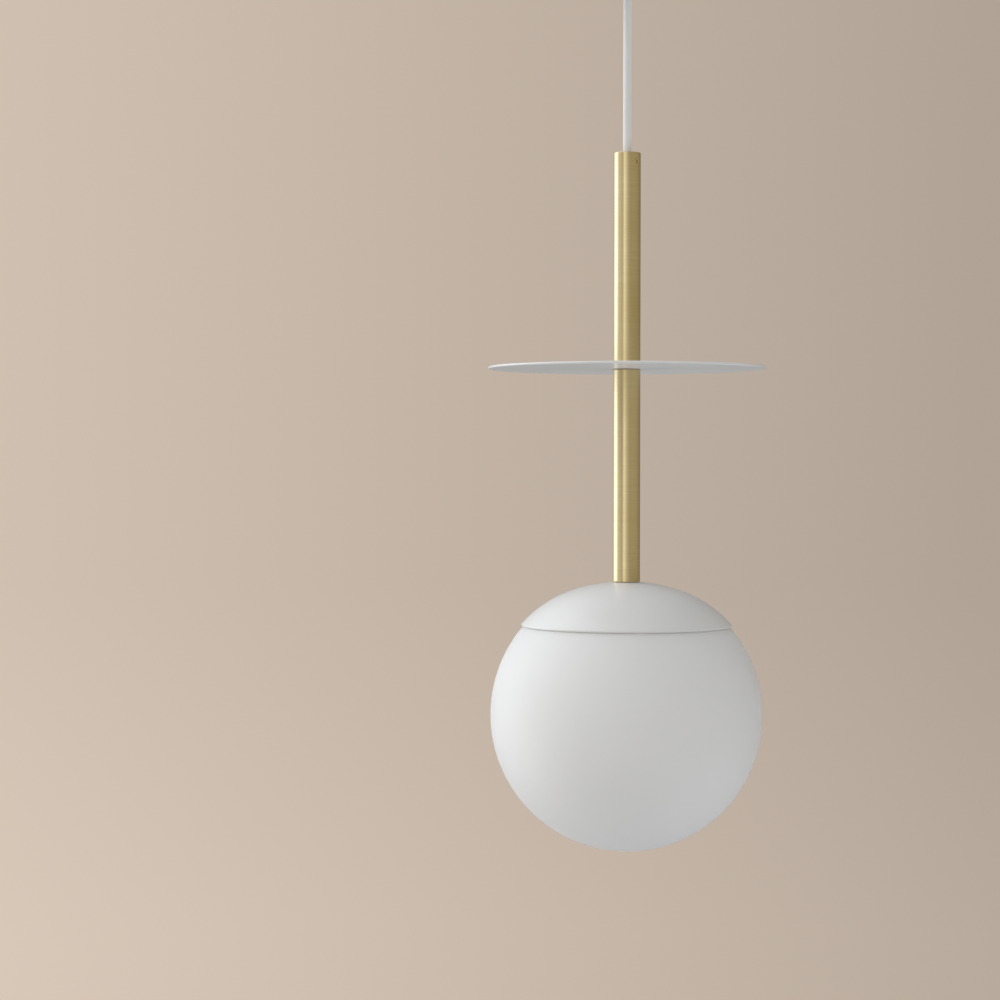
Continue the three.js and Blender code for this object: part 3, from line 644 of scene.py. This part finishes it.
def make_tube(node, shape=None, rows=(), extra=()):
    """A thin tube with all four edges rounded. rows are heights where the outside has more points."""
    low, high = heights(node)
    tall = (high - low) / MM
    corners = [
        (TUBE_BORE, 0, TUBE_EDGE * 0.5),
        (TUBE_RADIUS, 0, TUBE_EDGE),
        *((TUBE_RADIUS, z, 0) for z in rows),
        (TUBE_RADIUS, tall, TUBE_EDGE),
        (TUBE_BORE, tall, TUBE_EDGE * 0.5),
    ]
    outline = rounded(corners)
    fit_turned(node, "brass", "pendant", "satin_brass", outline, low, 128, shape=shape, extra=extra)


def make_upper_tube():
    """The upper tube has a round hole for the screw that holds the cord: with d the distance from the hole's
    middle over the surface, the radius drops by a steep smooth step, 1 / (1 + exp((d - hole) / 0.04))."""
    height = (middle_of("plug_grub_screw").z - UPPER_LOW) / MM
    turn = math.radians(GRUB_TURN)

    def hole(r, z, angle):
        away = np.hypot(TUBE_RADIUS * np.sin(angle - turn), z - height)
        outside = (np.cos(angle - turn) > 0) & (r > TUBE_BORE + 0.7)
        return r - GRUB_SINK * outside / (1 + np.exp((away - GRUB_HOLE) / 0.04)), z

    spots = np.linspace(-2.4, 2.4, 49)
    extra = (turn + spots / TUBE_RADIUS) % TURN
    make_tube("upper_tube", hole, height + spots, extra)


make_upper_tube()
make_tube("lower_tube")


def make_plug():
    """The end plug: a close ring in the tube's mouth with a countersunk way for the cord."""
    tall = (PLUG_TOP - PLUG_LOW) / MM
    corners = [
        (3.4, 0, 0.3),
        (8.75, 0, 0.5),
        (8.75, tall, 0.6),
        (4.6, tall, 0.4),
        (3.4, tall - 1.4, 0.5),
    ]
    fit_turned("tube_plug", "turned", "pendant", "satin_brass", rounded(corners), PLUG_LOW)


make_plug()


def make_sleeve(node, slot, bore, outside, pitch=0.0, depth=0.0):
    """A sleeve on the tubes' axis. A threaded one has its outside lowered by half of depth times
    1 - cos(2 pi z / pitch - angle)."""
    low, high = heights(node)
    tall = (high - low) / MM
    count = int(tall / pitch * 8) if pitch else 2
    rows = np.linspace(0.6, tall - 0.6, count)
    middle = [(outside, z, 0) for z in rows]
    corners = [(bore, 0, 0.2), (outside, 0, 0.3), *middle, (outside, tall, 0.3), (bore, tall, 0.2)]

    def thread(r, z, angle):
        cut = 0.5 - 0.5 * np.cos(TURN * z / pitch - angle)
        return r - depth * cut * (r > outside - 0.01), z

    shape = thread if pitch else None
    fit_turned(node, "turned", "pendant", slot, rounded(corners, 3), low, 48, shape=shape)


for node in ("disc_nipple", "dome_nipple"):
    make_sleeve(node, "zinc_steel", 3.9, 5, 1.0, 0.35)
for node in ("upper_insert", "middle_insert", "lower_insert"):
    make_sleeve(node, "plain_brass", NIPPLE_HOLE, 8.7)

DISC_RADIUS = 102


def make_disc():
    """A sheet disc whose rim is a full half round."""
    thick = (DISC_TOP - DISC_LOW) / MM
    edge = thick / 2
    inner = [(NIPPLE_HOLE, thick), (NIPPLE_HOLE, 0), (12, 0), (40, 0), (80, 0), (DISC_RADIUS - edge - 0.4, 0)]
    rim = arc(DISC_RADIUS - edge, edge, edge, -90, 90, 14)
    back = [(DISC_RADIUS - edge - 0.4, thick), (80, thick), (40, thick), (12, thick)]
    outline = np.vstack([inner, rim, back])
    fit_turned("disc", "sheet", "pendant", "white_paint", outline, DISC_LOW, 256)


make_disc()


# ---- domed cap ----
CAP_APEX = 98.1
CROWN_RADIUS = 124
CROWN_REACH = 40
SHOULDER_RADIUS = 87
CAP_RIM = 77.4
HEM_RADIUS = 1.0
HEM_Z = 66.3
CAP_WALL = 1.2


def cap_arc(inset, steps):
    """From the centre hole out to the rim: a crown arc, then a tighter shoulder arc that runs on from it."""
    crown_turn = math.asin(CROWN_REACH / CROWN_RADIUS)
    crown_z = CAP_APEX - CROWN_RADIUS
    step = CROWN_RADIUS - SHOULDER_RADIUS
    shoulder_r, shoulder_z = step * math.sin(crown_turn), crown_z + step * math.cos(crown_turn)
    turn = 90 - math.degrees(crown_turn)
    hole_turn = math.degrees(math.acos(NIPPLE_HOLE / (CROWN_RADIUS - inset)))
    rim_turn = math.degrees(math.acos((CAP_RIM - HEM_RADIUS - shoulder_r) / SHOULDER_RADIUS))
    crown = arc(0, crown_z, CROWN_RADIUS - inset, hole_turn, turn, steps)
    shoulder = arc(shoulder_r, shoulder_z, SHOULDER_RADIUS - inset, turn, rim_turn + 1.2, steps * 2)
    return np.vstack([crown, shoulder[1:]])


def make_cap():
    """The pressed cap: outer skin, a rolled hem round the rim and the inner skin."""
    hem = arc(CAP_RIM - HEM_RADIUS, HEM_Z, HEM_RADIUS, 42, -190, 22)
    outline = np.vstack([cap_arc(0, 18), hem, cap_arc(CAP_WALL, 12)[::-1]])
    fit_turned("dome_cap", "pressed", "pendant", "white_paint", outline, GLOBE_Z, 192)


make_cap()


# ---- glass globe and its seat ----
NECK_RADIUS = 58
GLASS_SHOULDER = 8
GLASS_WALL = 2.6
SHOULDER_TURN = math.degrees(math.asin(0.768))


def make_globe():
    """A sphere whose top turns in over a tight shoulder to a flat flange with a fire-polished lip, then back
    along the inside of the wall."""
    radius = GLOBE_RADIUS / MM
    reach = radius - GLASS_SHOULDER
    tilt = math.radians(SHOULDER_TURN)
    shoulder = (reach * math.sin(tilt), reach * math.cos(tilt))
    flange_top = shoulder[1] + GLASS_SHOULDER
    flange_low = flange_top - 3
    inner = radius - GLASS_WALL
    inner_turn = math.degrees(math.asin(flange_low / inner))
    outline = np.vstack([
        [(0, -inner)],
        arc(0, 0, inner, -89.2, inner_turn, 70),
        arc(NECK_RADIUS + 1.5, flange_top - 1.5, 1.5, 270, 90, 12),
        arc(*shoulder, GLASS_SHOULDER, 90, 90 - SHOULDER_TURN, 14),
        arc(0, 0, radius, 90 - SHOULDER_TURN, -89.2, 120)[1:],
        [(0, -radius)],
    ])
    fit_turned("globe", "glass", "globe", "opal_glass", outline, GLOBE_Z, 192)
    seat = arc(68.5, 69.6, 2.4, 0, 342, 19)
    fit_turned("seat_ring", "rubber", "globe", "clear_rubber", seat, GLOBE_Z, 128)


make_globe()


# ---- ceiling fitting ----
def make_canopy():
    """A spun cup with a generous lower corner, a fine turned-in top edge and a hole for the cord grip."""
    tall = (CANOPY_TOP - CANOPY_LOW) / MM
    corners = [
        (NIPPLE_HOLE, 0, 0.3),
        (50, 0, 6),
        (50, tall, 0.4),
        (49, tall, 0.4),
        (49, 1, 5),
        (NIPPLE_HOLE, 1, 0.3),
    ]
    outline = rounded(corners, 10)
    fit_turned("canopy", "spun", "ceiling_fitting", "white_paint", outline, CANOPY_LOW, 160)


make_canopy()


def make_grip():
    """The cord grip: threaded stem, a fluted collar for the fingers and a flared mouth that lets the cord
    swing. Flutes: the radius dips by a raised cosine of the angle over the collar's height."""
    stem_top = (GRIP_TOP - GRIP_LOW) / MM
    flange = 9.2
    outline = np.vstack([
        [(3.4, 5.6), (3.4, stem_top), (4.6, stem_top), (5.0, stem_top - 0.4), (5.0, 9.3), (5.0, 9.2)],
        [(8.9, flange)],
        arc(8.9, 8.9, 0.3, 90, 0, 4),
        [(9.2, 8.2), (8.9, 7.9), (8.2, 7.8)],
        arc(7.4, 7.0, 0.8, 60, 0, 5),
        [(8.25, 6.2), (8.35, 4.2), (8.5, 2.4)],
        arc(7.8, 1, 1, 30, -90, 8),
        arc(7.6, 5.5, 4.2, -96, -180, 12),
    ])

    def flutes(r, z, angle):
        share = np.clip((z - 1.6) / 0.8, 0, 1) * np.clip((7.4 - z) / 0.8, 0, 1) * (r > 7)
        return r - 0.35 * share * (0.5 + 0.5 * np.cos(20 * angle)) ** 2, z

    body = "ceiling_fitting"
    fit_turned("cord_grip", "moulded", body, "white_plastic", outline, GRIP_LOW, 200, shape=flutes)


make_grip()


def hexagon(flats):
    """Turns a round outline into a six-sided nut: the radius at each angle is held inside the hexagon, whose
    corners are slightly rounded."""

    def shape(r, z, angle):
        sector = (angle + TURN / 12) % (TURN / 6) - TURN / 12
        side = np.minimum(flats / 2 / np.cos(sector), flats / 2 * 1.125)
        return np.where(r > flats * 0.4, np.minimum(r, side), r), z

    return shape


NUT_FLATS = 14


def make_nut(node, body, slot):
    """A six-sided nut with both faces chamfered round."""
    low, high = heights(node)
    tall = (high - low) / MM
    face = NUT_FLATS / 2 - 0.4
    wide = NUT_FLATS / 2 * 1.14
    corners = [
        (NIPPLE_HOLE, 0, 0.4),
        (face, 0, 0.1),
        (wide, 0.8, 0.1),
        (wide, tall - 0.8, 0.1),
        (face, tall, 0.1),
        (NIPPLE_HOLE, tall, 0.4),
    ]
    outline = rounded(corners, 3)
    fit_turned(node, "hex", body, slot, outline, low, 144, shape=hexagon(NUT_FLATS))


make_nut("grip_nut", "ceiling_fitting", "white_plastic")
make_nut("gallery_nut", "pendant", "zinc_steel")

CEILING_WIRES = {
    "wire_live": (-8.4, -2.4, "brown_wire"),
    "wire_earth": (0.0, 0.0, "earth_wire"),
    "wire_neutral": (8.4, 2.4, "blue_wire"),
}
WIRE_RADIUS = 0.0011


def make_wire(node, points, body, slot, steps=60):
    route = smooth_route(np.array(points) * MM, steps)
    piece = carried(node + "_jacket", route, ring_section(WIRE_RADIUS, 20), (1, 0.05, 0.02))
    fit_out(piece, body, slot, node)


def make_wiring():
    for node, (x, start, slot) in CEILING_WIRES.items():
        points = [
            (start, 0, -18.7),
            (start * 1.2, -0.6, -17),
            (x * 0.6, -6, -15.2),
            (x, -12.5, -12),
            (x, -13, -8),
            (x, -9, -6),
            (x, -1.5, -6),
        ]
        make_wire(node, points, "ceiling_fitting", slot)
    base = GLOBE_Z / MM
    for node, side, slot in (
        ("holder_wire_live", -1, "brown_wire"),
        ("holder_wire_neutral", 1, "blue_wire"),
    ):
        points = [
            (side * 1.6, 0, 68),
            (side * 1.7, 0, 66.6),
            (side * 3, 0.4, 64.8),
            (side * 7, 2, 62.5),
            (side * 8, 2, 60),
            (side * 8, 2, 57.4),
        ]
        make_wire(node, [(x, y, z + base) for x, y, z in points], "pendant", slot)


make_wiring()


def slotted(floor, width=0.8, depth=0.9):
    """Lowers what is above floor along a straight slot across a screw's end."""

    def shape(r, z, angle):
        away = np.abs(r * np.sin(angle))
        groove = 1 / (1 + np.exp((away - width / 2) / 0.05))
        return r, z - depth * groove * np.clip((z - floor) / 0.25, 0, 1)

    return shape


def socketed(across_flats):
    """Draws the wall of a round socket in to a hexagon, where the radius is near half of across_flats."""

    def shape(r, z, angle):
        sector = (angle + TURN / 12) % (TURN / 6) - TURN / 12
        side = across_flats / 2 / np.cos(sector)
        wall = (r > across_flats * 0.45) & (r < across_flats * 0.6)
        return np.where(wall, side, r), z

    return shape


def turn_piece(piece, rotation, move):
    """Turns a finished mesh by a rotation matrix and moves it, both held in its vertices."""
    count = len(piece.data.vertices)
    points = np.empty(count * 3)
    piece.data.vertices.foreach_get("co", points)
    points = points.reshape(-1, 3) @ np.asarray(rotation, float).T + np.asarray(move, float)
    piece.data.vertices.foreach_set("co", points.ravel())
    piece.data.update()
    return piece


CANOPY_SEAT = 0.0503
UPSIDE_DOWN = ((1, 0, 0), (0, -1, 0), (0, 0, -1))
TO_RIGHT = ((0, 0, 1), (0, 1, 0), (-1, 0, 0))
TO_LEFT = ((0, 0, -1), (0, 1, 0), (1, 0, 0))


def make_screw(node, slot, rotation, seat, head, tall, shank, length):
    """A pan-head screw: its head's underside is at seat, and the rotation turns it from pointing up."""
    rows = np.linspace(0, head * 0.92, 16)[::-1]
    crown = [(r, tall * (1 - 0.35 * (r / head) ** 2.4)) for r in rows]
    outline = np.vstack([
        [(0, -length), (shank - 0.3, -length), (shank, -length + 0.3), (shank, -0.05), (shank + 0.1, 0)],
        [(head - 0.2, 0), (head, 0.2), (head, tall * 0.42)],
        crown,
    ])
    piece = turned(node + "_turned", outline, 0, 96, slotted(tall * 0.35))
    fit_out(turn_piece(piece, rotation, seat), "ceiling_fitting", slot, node)


def make_terminal_screw(node):
    """A headless slotted screw that stands upside down in its well."""
    low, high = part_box(node)
    radius, tall = (high.x - low.x) / 2 / MM, (high.z - low.z) / MM
    face = [(r, 0) for r in np.linspace(radius - 0.2, 0, 14)]
    outline = [(0, -tall), (radius, -tall), (radius, -0.2), *face]
    piece = turned(node + "_turned", outline, 0, 64, slotted(-0.3, 0.6, 0.8))
    place = (middle_of(node).x, middle_of(node).y, low.z)
    fit_out(turn_piece(piece, UPSIDE_DOWN, place), "ceiling_fitting", "zinc_steel", node)


def make_grub_screw():
    """The headless socket screw in the tube's wall that holds the cord."""
    turn = math.radians(GRUB_TURN)
    outward = np.array([math.cos(turn), math.sin(turn), 0])
    outline = [(0, -6.7), (1.1, -6.7), (1.5, -6.3), (1.5, -0.3), (1.2, 0), (0.8, 0), (0.75, -1.4), (0, -1.5)]
    piece = turned("plug_grub_screw_turned", outline, 0, 48, socketed(1.5))
    spin = np.array([[outward[0], -outward[1], 0], [outward[1], outward[0], 0], [0, 0, 1]])
    place = outward * GRUB_HEAD * MM + (0, 0, middle_of("plug_grub_screw").z)
    fit_out(turn_piece(piece, spin @ TO_RIGHT, place), "pendant", "satin_brass", "plug_grub_screw")


def make_fasteners():
    for node, turn, side in (("canopy_screw_right", TO_RIGHT, 1), ("canopy_screw_left", TO_LEFT, -1)):
        seat = (side * CANOPY_SEAT, 0, middle_of(node).z)
        make_screw(node, "satin_brass", turn, seat, 3.4, 2.2, 1.7, 8)
    middle = middle_of("earth_screw")
    seat = (middle.x, middle.y, heights("earth_screw")[1] - 0.0014)
    make_screw("earth_screw", "plain_brass", UPSIDE_DOWN, seat, 3.4, 2.4, 1.6, 1.4)
    middle = middle_of("terminal_fixing_screw")
    seat = (middle.x, middle.y, heights("terminal_fixing_screw")[1] - 0.0104)
    make_screw("terminal_fixing_screw", "zinc_steel", UPSIDE_DOWN, seat, 2.6, 1.6, 1.3, 10.4)
    for number in range(1, 7):
        make_terminal_screw(f"terminal_screw_{number}")
    make_grub_screw()


make_fasteners()

for node in ("ceiling_bracket", "terminal_block"):
    slot = "zinc_steel" if node == "ceiling_bracket" else "white_plastic"
    fit_out(softened(node), "ceiling_fitting", slot, node)


# ---- gallery ----
def make_gallery():
    """The spacer, the washer and the plate that hold the sprung arms."""
    low, high = heights("spacer_sleeve")
    tall = (high - low) / MM
    corners = [(NIPPLE_HOLE, 0, 0.3), (8, 0, 0.3), (8, tall, 0.3), (NIPPLE_HOLE, tall, 0.3)]
    fit_turned("spacer_sleeve", "turned", "pendant", "zinc_steel", rounded(corners, 3), low, 72)
    low = heights("gallery_washer")[0]
    corners = [(NIPPLE_HOLE, 0, 0.15), (9, 0, 0.25), (9, 1, 0.25), (NIPPLE_HOLE, 1, 0.15)]
    fit_turned("gallery_washer", "pressed", "pendant", "zinc_steel", rounded(corners, 3), low, 72)
    fit_out(softened("gallery_plate", 0.2), "pendant", "zinc_steel", "gallery_plate")


make_gallery()

RIVET_CIRCLE = 46
CLIP_Z = 78.8


def make_clip(number):
    """A sprung arm: a flat strip that runs out under the plate, turns down, bulges against the inside of the
    glass neck and curls back at the tip. The section is a rectangle with rounded long edges."""
    turn = math.radians(90 + 120 * (number - 1))
    line = np.vstack([
        [(39, CLIP_Z), (45, CLIP_Z)],
        arc(51, CLIP_Z - 2, 2, 90, 0, 8),
        [(53, 73), (53, 70)],
        arc(52.6, 63, 3.9, 38, -38, 14),
        [(53.6, 57.5), (51.8, 55.7)],
    ])
    flat = np.stack([line[:, 0], 0 * line[:, 0], line[:, 1]], 1) * MM
    route = smooth_route(flat, 90) + (0, 0, GLOBE_Z)
    half_wide, half_thick, fillet = 6.0, 0.4, 0.3
    corner = [(half_wide, half_thick, fillet), (-half_wide, half_thick, fillet)]
    corner += [(-half_wide, -half_thick, fillet), (half_wide, -half_thick, fillet)]
    node = f"spring_clip_{number}"
    arm = carried(node + "_arm", route, rounded(corner, 3) * MM, (0, 1, 0))
    spin = ((math.cos(turn), -math.sin(turn), 0), (math.sin(turn), math.cos(turn), 0), (0, 0, 1))
    fit_out(turn_piece(arm, spin, (0, 0, 0)), "pendant", "spring_steel", node)
    rivet = f"clip_rivet_{number}"
    low, high = heights(rivet)
    tall = (high - low) / MM
    head = 1.2
    lower = [(3 * math.sin(k), head - head * math.cos(k)) for k in np.linspace(0, math.pi / 2, 8)]
    upper = [(3 * math.cos(k), tall - head + head * math.sin(k)) for k in np.linspace(0, math.pi / 2, 8)]
    outline = np.vstack([lower, [(1.6, head), (1.6, tall - head)], upper])
    centre = (RIVET_CIRCLE * math.cos(turn), RIVET_CIRCLE * math.sin(turn))
    fit_turned(rivet, "turned", "pendant", "zinc_steel", outline, low, 48, centre=centre)


for number in (1, 2, 3):
    make_clip(number)


# ---- lampholder ----
def make_holder():
    """Cap and body of the lampholder, both moulded; the body's grip ring carries upright ribs."""
    cap = np.vstack([
        [(NIPPLE_HOLE, 74.6), (8.8, 74.6)],
        arc(8.6, 74.2, 0.4, 60, 0, 3),
        [(9.6, 71.8)],
        arc(11.5, 62.5, 8, 84, 0, 16),
        [(19.5, 59), (19.5, 57.8)],
        arc(19.2, 57.8, 0.3, 0, -90, 3),
        [(17.6, 57.5), (17.6, 60)],
        arc(11.5, 62.5, 6.1, 0, 85, 12),
        [(NIPPLE_HOLE, 68.6)],
    ])
    fit_turned("holder_cap", "moulded", "pendant", "white_plastic", cap, GLOBE_Z)
    corners = [
        (14.8, 57.2, 0.2),
        (19.5, 57.2, 0.3),
        (19.5, 34, 0.6),
        (20.8, 32.9, 0.5),
        (20.8, 24, 1.0),
        (19.4, 22, 0.6),
        (15, 22, 0.4),
        (14.8, 24, 0.4),
    ]

    def ribs(r, z, angle):
        share = np.clip((z - 24) / 1.2, 0, 1) * np.clip((33 - z) / 1.2, 0, 1) * (r > 20)
        return r + 0.28 * share * np.cos(48 * angle), z

    outline = rounded(corners, 5)
    grip = np.linspace(32.2, 25.2, 8)
    place = int(np.argmin(np.hypot(outline[:, 0] - 20.8, outline[:, 1] - 25.3)))
    outline = np.insert(outline, place, [(20.8, z) for z in grip[1:-1]], 0)
    fit_turned("holder_body", "moulded", "pendant", "white_plastic", outline, GLOBE_Z, 384, shape=ribs)


make_holder()

for node, slot in (
    ("holder_core", "white_plastic"),
    ("centre_contact", "plain_brass"),
    ("side_contact", "plain_brass"),
):
    fit_out(softened(node, 0.2), "pendant", slot, node)


# ---- lamp bulb ----
BULB_RADIUS = 30
BULB_CENTRE = -30
THREAD_PITCH = 3.63
THREAD_DEPTH = 0.75


def make_bulb():
    """An LED lamp: opal dome, flared collar, rolled screw cap, glass insulator and solder tip."""
    collar_low = -14
    edge_r = math.sqrt(BULB_RADIUS**2 - (collar_low - BULB_CENTRE) ** 2)
    rim = math.degrees(math.asin((collar_low - 0.3 - BULB_CENTRE) / BULB_RADIUS))
    envelope = np.vstack([
        [(0, BULB_CENTRE - BULB_RADIUS + 1.4)],
        arc(0, BULB_CENTRE, BULB_RADIUS - 1.4, -88, rim, 40),
        arc(0, BULB_CENTRE, BULB_RADIUS, rim, -88, 60),
        [(0, BULB_CENTRE - BULB_RADIUS)],
    ])
    fit_turned("bulb_envelope", "opal", "bulb", "bulb_opal", envelope, GLOBE_Z, 128)
    outside = [(14.4, 20.7), (14.8, 16), (17, 8), (21, 0), (24.3, -7), (edge_r, collar_low)]
    inside = [(edge_r - 1.6, collar_low), (22.7, -7), (19.4, 0), (15.4, 8), (13.3, 16), (13.2, 20.7)]
    skirt = smooth_route([(r, 0, z) for r, z in outside], 40)
    lining = smooth_route([(r, 0, z) for r, z in inside], 30)
    collar = np.vstack([skirt, lining])[:, [0, 2]]
    fit_turned("bulb_collar", "moulded", "bulb", "white_plastic", collar, GLOBE_Z, 128)

    def thread(r, z, angle):
        share = np.clip((z - 21.6) / 2, 0, 1) * np.clip((38.2 - z) / 2, 0, 1)
        wave = 0.5 - 0.5 * np.cos(TURN * z / THREAD_PITCH - angle)
        return r - THREAD_DEPTH * share * wave, z

    outer = [(13.1, z) for z in np.linspace(21, 38.6, 72)]
    crown = [(12.6, 39.4), (9.6, 42.1), (7.8, 42.1), (11.2, 39), (11.6, 38)]
    inner = [(11.6, z) for z in np.linspace(37, 21, 30)]
    shell = np.vstack([outer, crown, inner])
    fit_turned("bulb_screw_cap", "rolled", "bulb", "zinc_steel", shell, GLOBE_Z, shape=thread)
    insulator = [(0, 42.4), (8.2, 42.4), (8.4, 42.7), (8.2, 43.3), (6.4, 44.6), (4.4, 45.5), (0, 45.6)]
    fit_turned("bulb_insulator", "glass", "bulb", "black_insulator", insulator, GLOBE_Z, 72)
    tip = [(0, 45.9), (2.5, 45.9), (2.65, 46.2), (2.4, 47.0), (1.7, 47.6), (0.8, 47.9), (0, 48)]
    fit_turned("bulb_tip", "solder", "bulb", "zinc_steel", tip, GLOBE_Z, 48)


make_bulb()


# ---- room: a pale floor well below, a plain pale surround and soft daylight from the upper left ----
BACKDROP = (0.521, 0.436, 0.363)
FLOOR_DROP = 0.62
FLOOR_PALE = (0.80, 0.70, 0.60)
FLOOR_REACH = 2.4


def make_floor():
    """A round floor whose tint fades out towards its edge. It is seen but casts no light of its own."""
    height = CAD_BOX[0].z - FLOOR_DROP
    outline = [(FLOOR_REACH / MM * share, 0) for share in np.linspace(0, 1, 25)]
    floor = turned("floor", outline, height, 96)
    if floor.data.polygons[0].normal.z < 0:
        floor.data.flip_normals()
    f = Finish("floor_pale", Roughness=0.9, Specular_IOR_Level=0.1)
    flat = f.place((1, 1, 0))
    far = f.node("ShaderNodeVectorMath", {"operation": "LENGTH"}, {0: flat}, output="Value")
    fade = f.spread(far, 0.7, FLOOR_REACH - 0.1, 1.0, 0.0)
    grain = f.noise(60, 4.0, 0.6)
    base = f.mottled(grain, FLOOR_PALE, 1.0, 1.02)
    floor.data.materials.append(f.surface(Base_Color=base, Alpha=fade))
    floor.visible_diffuse = False
    floor.visible_glossy = False
    floor.visible_shadow = False


make_floor()

# Brightness of the room at the lamp's own height, by bearing in degrees (0 is the viewer's side, -90 the
# left): the soft light on dull surfaces and how far the warm walls tint it, then the same two for what
# shiny surfaces mirror.
RING = [
    (-180, 0.50, 0.6, 0.26, 0.6),
    (-158, 0.74, 0.3, 0.48, 0.3),
    (-142, 0.68, 0.0, 0.75, -0.5),
    (-126, 1.30, 0.0, 1.75, -0.9),
    (-113, 2.50, 0.0, 2.20, -1.3),
    (-98, 2.30, 0.0, 1.90, -1.3),
    (-86, 1.10, 0.0, 0.90, -0.2),
    (-74, 0.62, 0.2, 0.60, 0.3),
    (-60, 0.66, 0.3, 0.66, 0.4),
    (-47, 0.50, 0.6, 0.50, 0.7),
    (-38, 0.36, 0.4, 0.36, 0.5),
    (-26, 1.42, 0.0, 1.45, 0.0),
    (-13, 0.92, 0.2, 0.92, 0.2),
    (6, 0.60, 0.4, 0.58, 0.8),
    (25, 0.43, 0.6, 0.40, 1.3),
    (45, 0.47, 0.5, 0.40, 1.4),
    (70, 0.56, 0.4, 0.38, 1.5),
    (100, 0.57, 0.4, 0.36, 1.5),
    (140, 0.47, 0.6, 0.24, 1.2),
    (180, 0.50, 0.6, 0.26, 0.6),
]
RING_FULL = 4.0
RING_WARM = (1.0, 0.91, 0.73)
FILL_TINT = (0.975, 1.0, 1.04)
SKY_BASE = 0.40
SKY_LEFT = 2.5
GROUND_BASE = 0.20
RETURN_TINT = (0.90, 1.0, 1.18)
RETURN_RIGHT = 1.25


def ring_light(f, share, column):
    """A colour ramp round the horizon, from one pair of columns of RING."""
    stops = []
    for row in RING:
        bright, warmth = row[column : column + 2]
        colour = [bright / RING_FULL * (1 - warmth * (1 - tint)) for tint in RING_WARM]
        stops.append(((row[0] + 180) / 360, colour))
    return f.node("ShaderNodeValToRGB", {"stops": stops}, {0: share})


def make_room():
    """The surround: the camera sees a plain pale backdrop that darkens slightly to the right and lightens
    slightly downwards, and everything else is lit by a ring of daylight, a bright upper left, and a cooler
    return from below and the right."""
    world = bpy.data.worlds.new("room")
    world.use_nodes = True
    bpy.context.scene.world = world
    f = Nodes(world.node_tree)
    where = f.node("ShaderNodeTexCoord", output="Generated")
    x, y, z = (f.node("ShaderNodeSeparateXYZ", inputs={0: where}, output=k) for k in range(3))
    share = f.math_node("ARCTAN2", x, y * -1.0) * (1 / TURN) + 0.5
    mirrored = f.node("ShaderNodeLightPath", output="Is Glossy Ray")
    rings = {0: mirrored, 6: ring_light(f, share, 1), 7: ring_light(f, share, 3)}
    ring = f.node("ShaderNodeMix", {"data_type": "RGBA"}, rings, output=2)
    level = f.spread(f.math_node("ABSOLUTE", z), 0.42, 0.86, RING_FULL, 0.0)
    upper = f.spread(z, 0.36, 0.86, 0.0, 1.0)
    lower = f.spread(z, -0.86, -0.36, 1.0, 0.0)
    left = f.math_node("MAXIMUM", x * -1.0, 0.0)
    right = f.math_node("MAXIMUM", x, 0.0) * f.spread(z, -0.75, -0.2, 1.0, 0.0)
    fill = f.scaled(FILL_TINT, upper * (left * SKY_LEFT + SKY_BASE) + lower * GROUND_BASE)
    lit = f.added(f.added(f.scaled(ring, level), fill), f.scaled(RETURN_TINT, right * RETURN_RIGHT))
    seen = f.scaled(BACKDROP, f.spread(x, -0.2, 0.2, 1.20, 0.84) * f.spread(z, -0.19, -0.05, 1.10, 1.0))
    around = f.node("ShaderNodeBackground", inputs={"Color": lit})
    behind = f.node("ShaderNodeBackground", inputs={"Color": seen})
    from_camera = f.node("ShaderNodeLightPath", output="Is Camera Ray")
    both = f.node("ShaderNodeMixShader", inputs={0: from_camera, 1: around, 2: behind})
    f.feed(f.tree.nodes["World Output"].inputs["Surface"], both)


make_room()
bpy.context.scene.view_settings.view_transform = "Standard"
bpy.context.scene.view_settings.look = "None"
